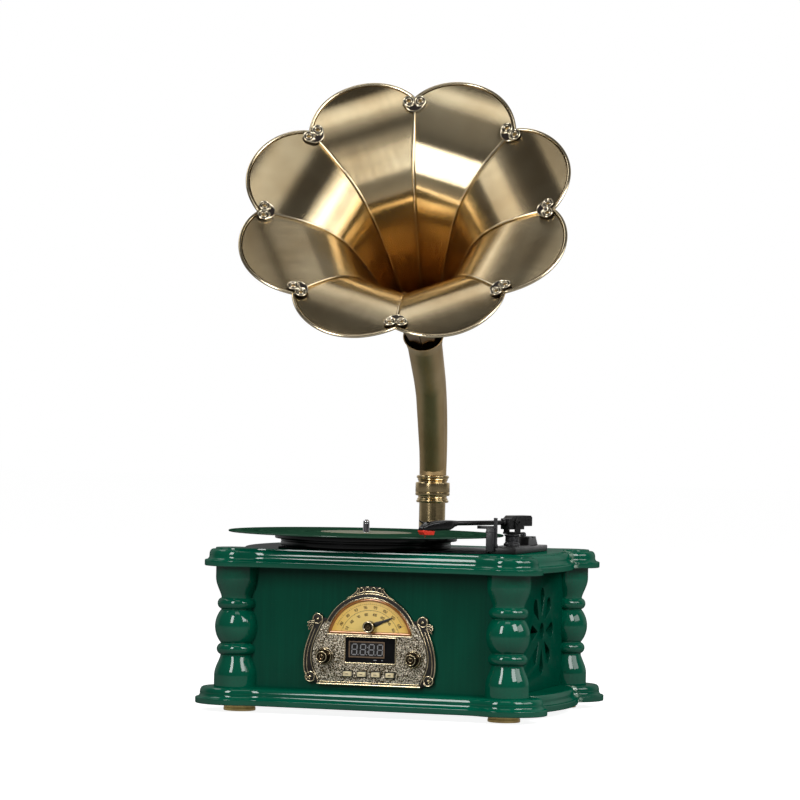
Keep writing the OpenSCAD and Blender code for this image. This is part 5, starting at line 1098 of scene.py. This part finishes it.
collar = rounded([
    (BORE_R, 2, 0), (PIPE_R + 0.1, 0, 0), (IN_1, 0, 0.5), (RING_OUT, 1, 0.8), (RING_OUT, 2.6, 0.8),
    (RING_OUT - 1.3, 3.5, 0.4), (IN_1, 4.4), (IN_2, 5.6, 0.4), (GROOVE_R, 6.4),
    (GROOVE_R, 7.6, 0.2), (LIP_R, 7.9, 0.4), (COLLAR_R, 8.8, 0.6), (COLLAR_R, 11.6, 0.1),
    (COLLAR_R - 0.35, 11.9, 0.1), (COLLAR_R, 12.2, 0.1), (COLLAR_R, 22.2, 0.6),
    (LIP_R, 23.1, 0.4), (GROOVE_R, 23.4, 0.2), (GROOVE_R, 24.6), (IN_2, 25.2, 0.4), (IN_1, 26.4),
    (RING_OUT - 1.3, 27.3, 0.4), (RING_OUT, 28.2, 0.8), (RING_OUT, 30, 0.8), (IN_1, 31, 0.5),
    (PIPE_R - 1.2, 31, 0), (BORE_R, 29, 0)], 0.3, 5)
piece("pipe_rings", turned(collar, 112, True), "turned_brass", "cabinet",
      ["pipe_collar"], 40, PIPE @ moved(z=COLLAR_Z))

# The bent pipe: s runs along its middle line
HORN_AZ, HORN_EL, HORN_TWIST, HORN_LEN = 9.5, 36.5, 1.6, 216
BEND_R, BEND_RUN, PIPE_END_R, MOUTH_R, WALL, BEND_START = 135, 71, 19.4, 22.8, 1.5, 6.5
BEND = rad(90 - HORN_EL)
FOOT = COLLAR_Z + COLLAR_H + 0.3
START_R, MOUTH_BAND, ELBOW_SIDES = PIPE_R + 0.4, 14, 96
elbow_len = BEND_START + BEND_R * BEND + BEND_RUN
mouth = elbow_len - MOUTH_BAND


def elbow_point(s):
    """Reach, height and tilt at s on the middle line: straight, bent, then straight again."""
    a = min(BEND, max(0, s - BEND_START) / BEND_R)
    straight = s - BEND_START - BEND_R * BEND if a == BEND else min(s - BEND_START, 0)
    return (BEND_R * (1 - cos(a)) + straight * sin(a),
            BEND_START + BEND_R * sin(a) + straight * cos(a), a)


outside = [(s, START_R + (PIPE_END_R - START_R) * max(0, s - BEND_START) / (mouth - BEND_START))
           for s in (mouth * k / 69 for k in range(70))]
outside += [(mouth + ds, PIPE_END_R + dr)
            for ds, dr in ((0.05, -0.5), (0.5, -0.5), (0.6, 0.5), (1, 0.75))]
outside += [(mouth + 1 + 12.2 * t, PIPE_END_R + 0.75 + (MOUTH_R - PIPE_END_R - 0.95) * t ** 1.5)
            for t in (k / 10 for k in range(1, 11))]
outside += [(elbow_len - 0.5, MOUTH_R), (elbow_len - 0.1, MOUTH_R - 0.25)]
inside = [(elbow_len - 0.1, MOUTH_R - 1.1), (elbow_len - 0.6, MOUTH_R - 1.4),
          (elbow_len - 5, MOUTH_R - 2.6), (mouth, PIPE_END_R - WALL),
          (mouth * 0.6, PIPE_END_R - WALL - 1), (0, PIPE_R - 1.2)]
rings, uvs = [], []
for s, r in [(0, PIPE_R - 1)] + outside + inside:
    reach, rise, a = elbow_point(s)
    rings.append([(u, -reach - v * cos(a), rise - v * sin(a))
                  for u, v in circle(0, 0, r, ELBOW_SIDES)])
    uvs += [(TAU * PIPE_R * k / ELBOW_SIDES / 1000, s / 1000) for k in range(ELBOW_SIDES)]
piece("bent_pipe", skin(rings, capped=False) + (uvs,), "pipe_brass", "horn",
      ["elbow_pipe"], 40, PIPE @ moved(z=FOOT) @ turned_by("Z", HORN_AZ))

# The horn: eight petals of a flare, round lobes beyond the valleys between them
THROAT_R, VALLEY_R, CONE_R, FLARE, CONE_POWER = 17, 155, 83, 9, 1.1
LOBE_R, TIP_RISE, SHEET, BEAD_R, SEAM_R = 66.1, 7, 1.2, 1.8, 1.2
FLARE_STEPS, LOBE_STEPS, ACROSS = 72, 40, 12
HALF_ANGLE = 22.5
HALF = rad(HALF_ANGLE)
reach, rise, _ = elbow_point(elbow_len)
reach += HORN_LEN * cos(rad(HORN_EL))
HORN = (moved(PIPE_X + reach * sin(rad(HORN_AZ)), PIPE_Y - reach * cos(rad(HORN_AZ)),
              FOOT + rise + HORN_LEN * sin(rad(HORN_EL)))
        @ turned_by("Z", HORN_AZ) @ turned_by("X", 90 - HORN_EL)
        @ turned_by("Z", 90 + HORN_TWIST))
VALLEYS = [turned_by("Z", 45 * k) for k in range(8)]
PETALS = [turned_by("Z", HALF_ANGLE + 45 * k) for k in range(8)]
VALLEY_IN, VALLEY_HALF = VALLEY_R * cos(HALF), VALLEY_R * sin(HALF)
LOBE_C = VALLEY_IN - sqrt(LOBE_R ** 2 - VALLEY_HALF ** 2)
LOBE_TIP = LOBE_C + LOBE_R
RUN = LOBE_TIP - VALLEY_IN
SLOPE = HORN_LEN / (CONE_POWER * (CONE_R - THROAT_R) + FLARE * (VALLEY_R - CONE_R)) / cos(HALF)


def horned(name, parts, look, replaces=(), angle=60):
    piece(name, parts, look, "horn", replaces, angle, HORN)


def lobe_rise(r):
    x = r - VALLEY_IN
    return SLOPE * x - (SLOPE * RUN - TIP_RISE) * (x / RUN) ** 2


def flare_r(t):
    cone, bell = (CONE_R - THROAT_R) * t ** CONE_POWER, (VALLEY_R - CONE_R) * t ** FLARE
    return cos(HALF) * (THROAT_R + cone + bell)


# A petal's middle line (radius, height) and half widths: along the flare, then over the lobe
valley_turn = acos((VALLEY_IN - LOBE_C) / LOBE_R)
line, widths = [], []
for t in (1 - (1 - i / FLARE_STEPS) ** 1.6 for i in range(FLARE_STEPS + 1)):
    line.append(Vector((flare_r(t), -HORN_LEN * (1 - t))))
    widths.append(flare_r(t) * tan(HALF) - 0.05)
for i in range(1, LOBE_STEPS + 1):
    a = valley_turn + (rad(1.0) - valley_turn) * i / LOBE_STEPS
    r = LOBE_C + LOBE_R * cos(a)
    line.append(Vector((r, lobe_rise(r))))
    widths.append(LOBE_R * sin(a))
N = len(line)
normals, length = [], [0.0]
for i in range(N):
    d = (line[min(i + 1, N - 1)] - line[max(i - 1, 0)]).normalized()
    normals.append(Vector((d.y, -d.x)))
    length.append(length[-1] + (line[min(i + 1, N - 1)] - line[i]).length)
rings, uvs = [], []
for p, normal, width, run in zip(line, normals, widths, length):
    row, under = [width * (2 * k / ACROSS - 1) for k in range(ACROSS + 1)], p + normal * SHEET
    rings.append([(p.x, w, p.y) for w in row] + [(under.x, w, under.y) for w in row[::-1]])
    uvs += [(w / 1000, run / 1000) for w in row + row[::-1]]
petals = [placed(skin(rings) + ([(u + 0.7 * k, v + 0.31 * k) for u, v in uvs],), PETALS[k])
          for k in range(8)]
brushed_brass("horn_brass", (178, 154, 114), (218, 202, 166), 0.23, 1.0, 0.5,
              HORN @ Vector((0, 0, -HORN_LEN)))
horned("flower_petals", petals, "horn_brass", ["horn_petals"], 40)

# The rolled rim, and the shadow line where the sheet turns into it
RIM_STEPS, RIM_SIDES, RIM_LINE = 30, 16, LOBE_R + BEAD_R
rim_start = HALF + asin(LOBE_C * sin(HALF) / RIM_LINE)
rings = []
for m in (HALF + TAU * k / 8 for k in range(8)):
    for i in range(2 * RIM_STEPS):
        a = rim_start * (i / RIM_STEPS - 1)
        r, w = LOBE_C + RIM_LINE * cos(a), RIM_LINE * sin(a)
        c = Vector((r * cos(m) - w * sin(m), r * sin(m) + w * cos(m), lobe_rise(min(r, LOBE_TIP))))
        b = m + (a if i else -HALF)
        rings.append([c + Vector((x * cos(b), x * sin(b), z))
                      for x, z in circle(0, 0, BEAD_R, RIM_SIDES)])
horned("rolled_rim", skin(rings, True), "rim_brass", ["horn_rim"], 70)
shade = [(LOBE_C + x, y, lobe_rise(LOBE_C + x) + 0.1)
         for x, y in arc(0, 0, LOBE_R - 0.5, degrees(0.012 - valley_turn),
                         degrees(valley_turn - 0.012), 2 * RIM_STEPS)]
horned("edge_line", [placed(tube(shade, 0.55, 8), turn) for turn in PETALS], "rim_line_dark")

seam, lift = [], (SEAM_R + 0.1) / cos(HALF)
for p, normal in zip(line[3:FLARE_STEPS + 1], normals[3:]):
    seam.append((p.x / cos(HALF) - lift * normal.x, 0, p.y - lift * normal.y))
seam = tube(seam, [0.8 + 0.8 * i / len(seam) for i in range(len(seam))])
horned("petal_seams", [placed(seam, turn) for turn in VALLEYS], "rim_brass", ["horn_seams"], 70)

# Clips at the valleys: a scalloped plate with two spirals and a leaf
TILT = degrees(atan(SLOPE * cos(HALF)))
CLIP_IN, EYE_X, EYE_Y, EYE_R = 5.4, 3.4, 6.3, 5.5


def clip_loop(grow):
    r, chin = EYE_R + 0.8 + grow, 9.0 + grow
    front_edge = [(-chin * x, 1.12 * chin * y) for x, y in arc(0, 0, 1, 62, -58, 20)]
    return arc(EYE_X, EYE_Y, r, -58, 118, 22) + front_edge + arc(EYE_X, -EYE_Y, r, -118, 58, 22)


chin_line = laid([p for p in clip_loop(-0.5) if p[0] < 1.5], 1.35)
last = len(chin_line) - 1
scrolls = [tube(chin_line, [0.35 + 0.55 * abs(2 * i / last - 1) for i in range(last + 1)], 10),
           tube([(0.2, 0, 1.5), (-1.2, 0, 1.8)], 0.6, 8)]
eyes = []
for s in (-1, 1):
    for r, z, thick, steps in ((EYE_R, 1.5, 0.75, 48), (3, 1.75, 0.6, 36)):
        scrolls.append(tube(laid(circle(EYE_X, s * EYE_Y, r, steps), z), thick, 10, True))
    leaf = smooth([(-0.6, s, 1.4), (-2.6, 3 * s, 1.8), (-3.4, 5.6 * s, 1.6),
                   (-1.6, 8.6 * s, 1.4)], 5)
    n = len(leaf)
    scrolls.append(tube(leaf, [0.55 * sin(pi * (i + 1) / (n + 1)) + 0.12 for i in range(n)], 8))
    pupil = [(1.95 * cos(rad(a)), 1.5 + 0.9 * sin(rad(a))) for a in (0, 25, 50, 70, 86)]
    eyes.append(placed(turned(pupil, 20), moved(EYE_X, s * EYE_Y)))
SPOTS = [turn @ moved(VALLEY_R) @ turned_by("Y", -TILT) @ moved(-CLIP_IN, 0, 2 * SEAM_R + 0.6)
         for turn in VALLEYS]
for name, parts, look, node, angle in (
        ("clip_plates", [plate([clip_loop(0)], 0, 1.3, 0.35)], "clip_dark", ["horn_clips"], 40),
        ("clip_scrolls", scrolls, "clip_bright", (), 60), ("clip_eyes", eyes, "clip_eye", (), 60)):
    horned(name, [placed(part, spot) for spot in SPOTS for part in parts], look, node, angle)

# Neck: a round foot in the pipe's mouth and an eight-sided socket under the petals
NECK_Z, NECK_BORE, SOCKET_Z, NECK_TOP, EDGE_R = -HORN_LEN - 20.45, 15.5, 8, 20, 18.1
foot = rounded([(NECK_BORE, 0), (17.6, 0, 0.3), (17.6, SOCKET_Z, 0.4), (NECK_BORE, SOCKET_Z)],
               0.2, 3, True)
socket = [(NECK_BORE, SOCKET_Z), (18.2, SOCKET_Z), (18.2, NECK_TOP), (NECK_BORE, NECK_TOP)]
neck = [turned(foot, 72, True), turned(socket, 8, True)]
neck += [tube([(x, y, SOCKET_Z + 0.4), (x, y, NECK_TOP - 0.4)], 0.35, 8)
         for x, y in circle(0, 0, EDGE_R, 8)]
horned("neck_socket", [placed(part, moved(z=NECK_Z)) for part in neck], "neck_brass",
       ["horn_neck"], 30)

# Speed lever, in the console's slot
lever = rounded([(0.3, 1.3), (1.6, 1.3, 0.2), (1.6, 10.3, 0.1), (3.4, 10.4), (3.4, 11.2),
                 (3, 13.8, 0.6), (2.2, 14.6, 0.5), (0.3, 14.9)], 0.3, 4)
piece("speed_lever", fluted(turned(lever, 48), 11.3, 13.8, 14, 0.2), "grey_grain", "selector",
      ["speed_selector"], at=moved(CONSOLE_X + 9, CONSOLE_Y + 10, BASE_TOP))

# ---- Studio: white to the camera, a soft gradient to the reflections ----
FILL = 0.16
world = bpy.data.worlds.new("studio")
bpy.context.scene.world = world
sky = Tree(world)
way = sky.vectors("DOT_PRODUCT", sky.node("TexCoord").outputs["Generated"], forward,
                  output="Value")
room = sky.ramp(sky.span(way, -1, 1), (0.6, 0.08), (0.97, 0.8))
shown = sky.mix(sky.ray("Glossy"), (FILL, FILL, FILL, 1), room)
for kind in ("Transmission", "Camera"):
    shown = sky.mix(sky.ray(kind), shown, WHITE)
sky.links.new(shown, sky.nodes["Background"].inputs["Color"])

# The floor glows towards the camera, and a little towards the reflections
FLOOR = 12
floor_mesh = bpy.data.meshes.new("floor")
floor_mesh.from_pydata([(-FLOOR, -FLOOR, 0), (FLOOR, -FLOOR, 0), (FLOOR, FLOOR, 0),
                        (-FLOOR, FLOOR, 0)], [], [(0, 1, 2, 3)])
floor = added("floor", floor_mesh)
pale = Look("floor", WHITE, 0.9, Specular_IOR_Level=0.0, Emission_Color=WHITE)
seen = pale.ray("Camera")
mirrored = pale.maths("MULTIPLY", pale.ray("Glossy"), 0.2)
pale.put("Base Color", pale.mix(seen, (0.2, 0.2, 0.2, 1), (0.6, 0.6, 0.6, 1)))
pale.put("Emission Strength", pale.maths("MULTIPLY_ADD", seen, 0.9, mirrored))
floor_mesh.materials.append(LOOKS["floor"])

# Lamps round the part: azimuth (0 in front, to the right positive), elevation, distance, width,
# height, brightness as a mirror shows it, and where it points
CENTRE = (0, 0, 0.3)
for name, azimuth, elevation, distance, width, height, brightness, target in (
        ("key_front", -17, 16, 0.95, 0.24, 0.6, 12, (0, -0.05, 0.35)),
        ("key_right", 60, 28, 1.5, 0.55, 0.75, 9, CENTRE),
        ("side_right", 90, 20, 1.6, 0.9, 0.6, 4, CENTRE),
        ("front_top", 15, 58, 1.8, 0.8, 0.45, 2, CENTRE),
        ("left_top", -92, 48, 1.8, 1.2, 0.5, 2.2, CENTRE),
        ("back_top", -162, 60, 1.8, 0.9, 0.8, 1.3, CENTRE)):
    data = bpy.data.lights.new(name, "AREA")
    data.shape, data.size, data.size_y = "RECTANGLE", width, height
    data.energy = brightness * pi * width * height
    a, e = rad(azimuth), rad(elevation)
    away = Vector((sin(a) * cos(e), -cos(a) * cos(e), sin(e)))
    lamp = added(name, data)
    lamp.location = Vector(target) + distance * away
    lamp.rotation_mode = "QUATERNION"
    lamp.rotation_quaternion = (-away).to_track_quat("-Z", "Y")
    lamp.visible_camera = False
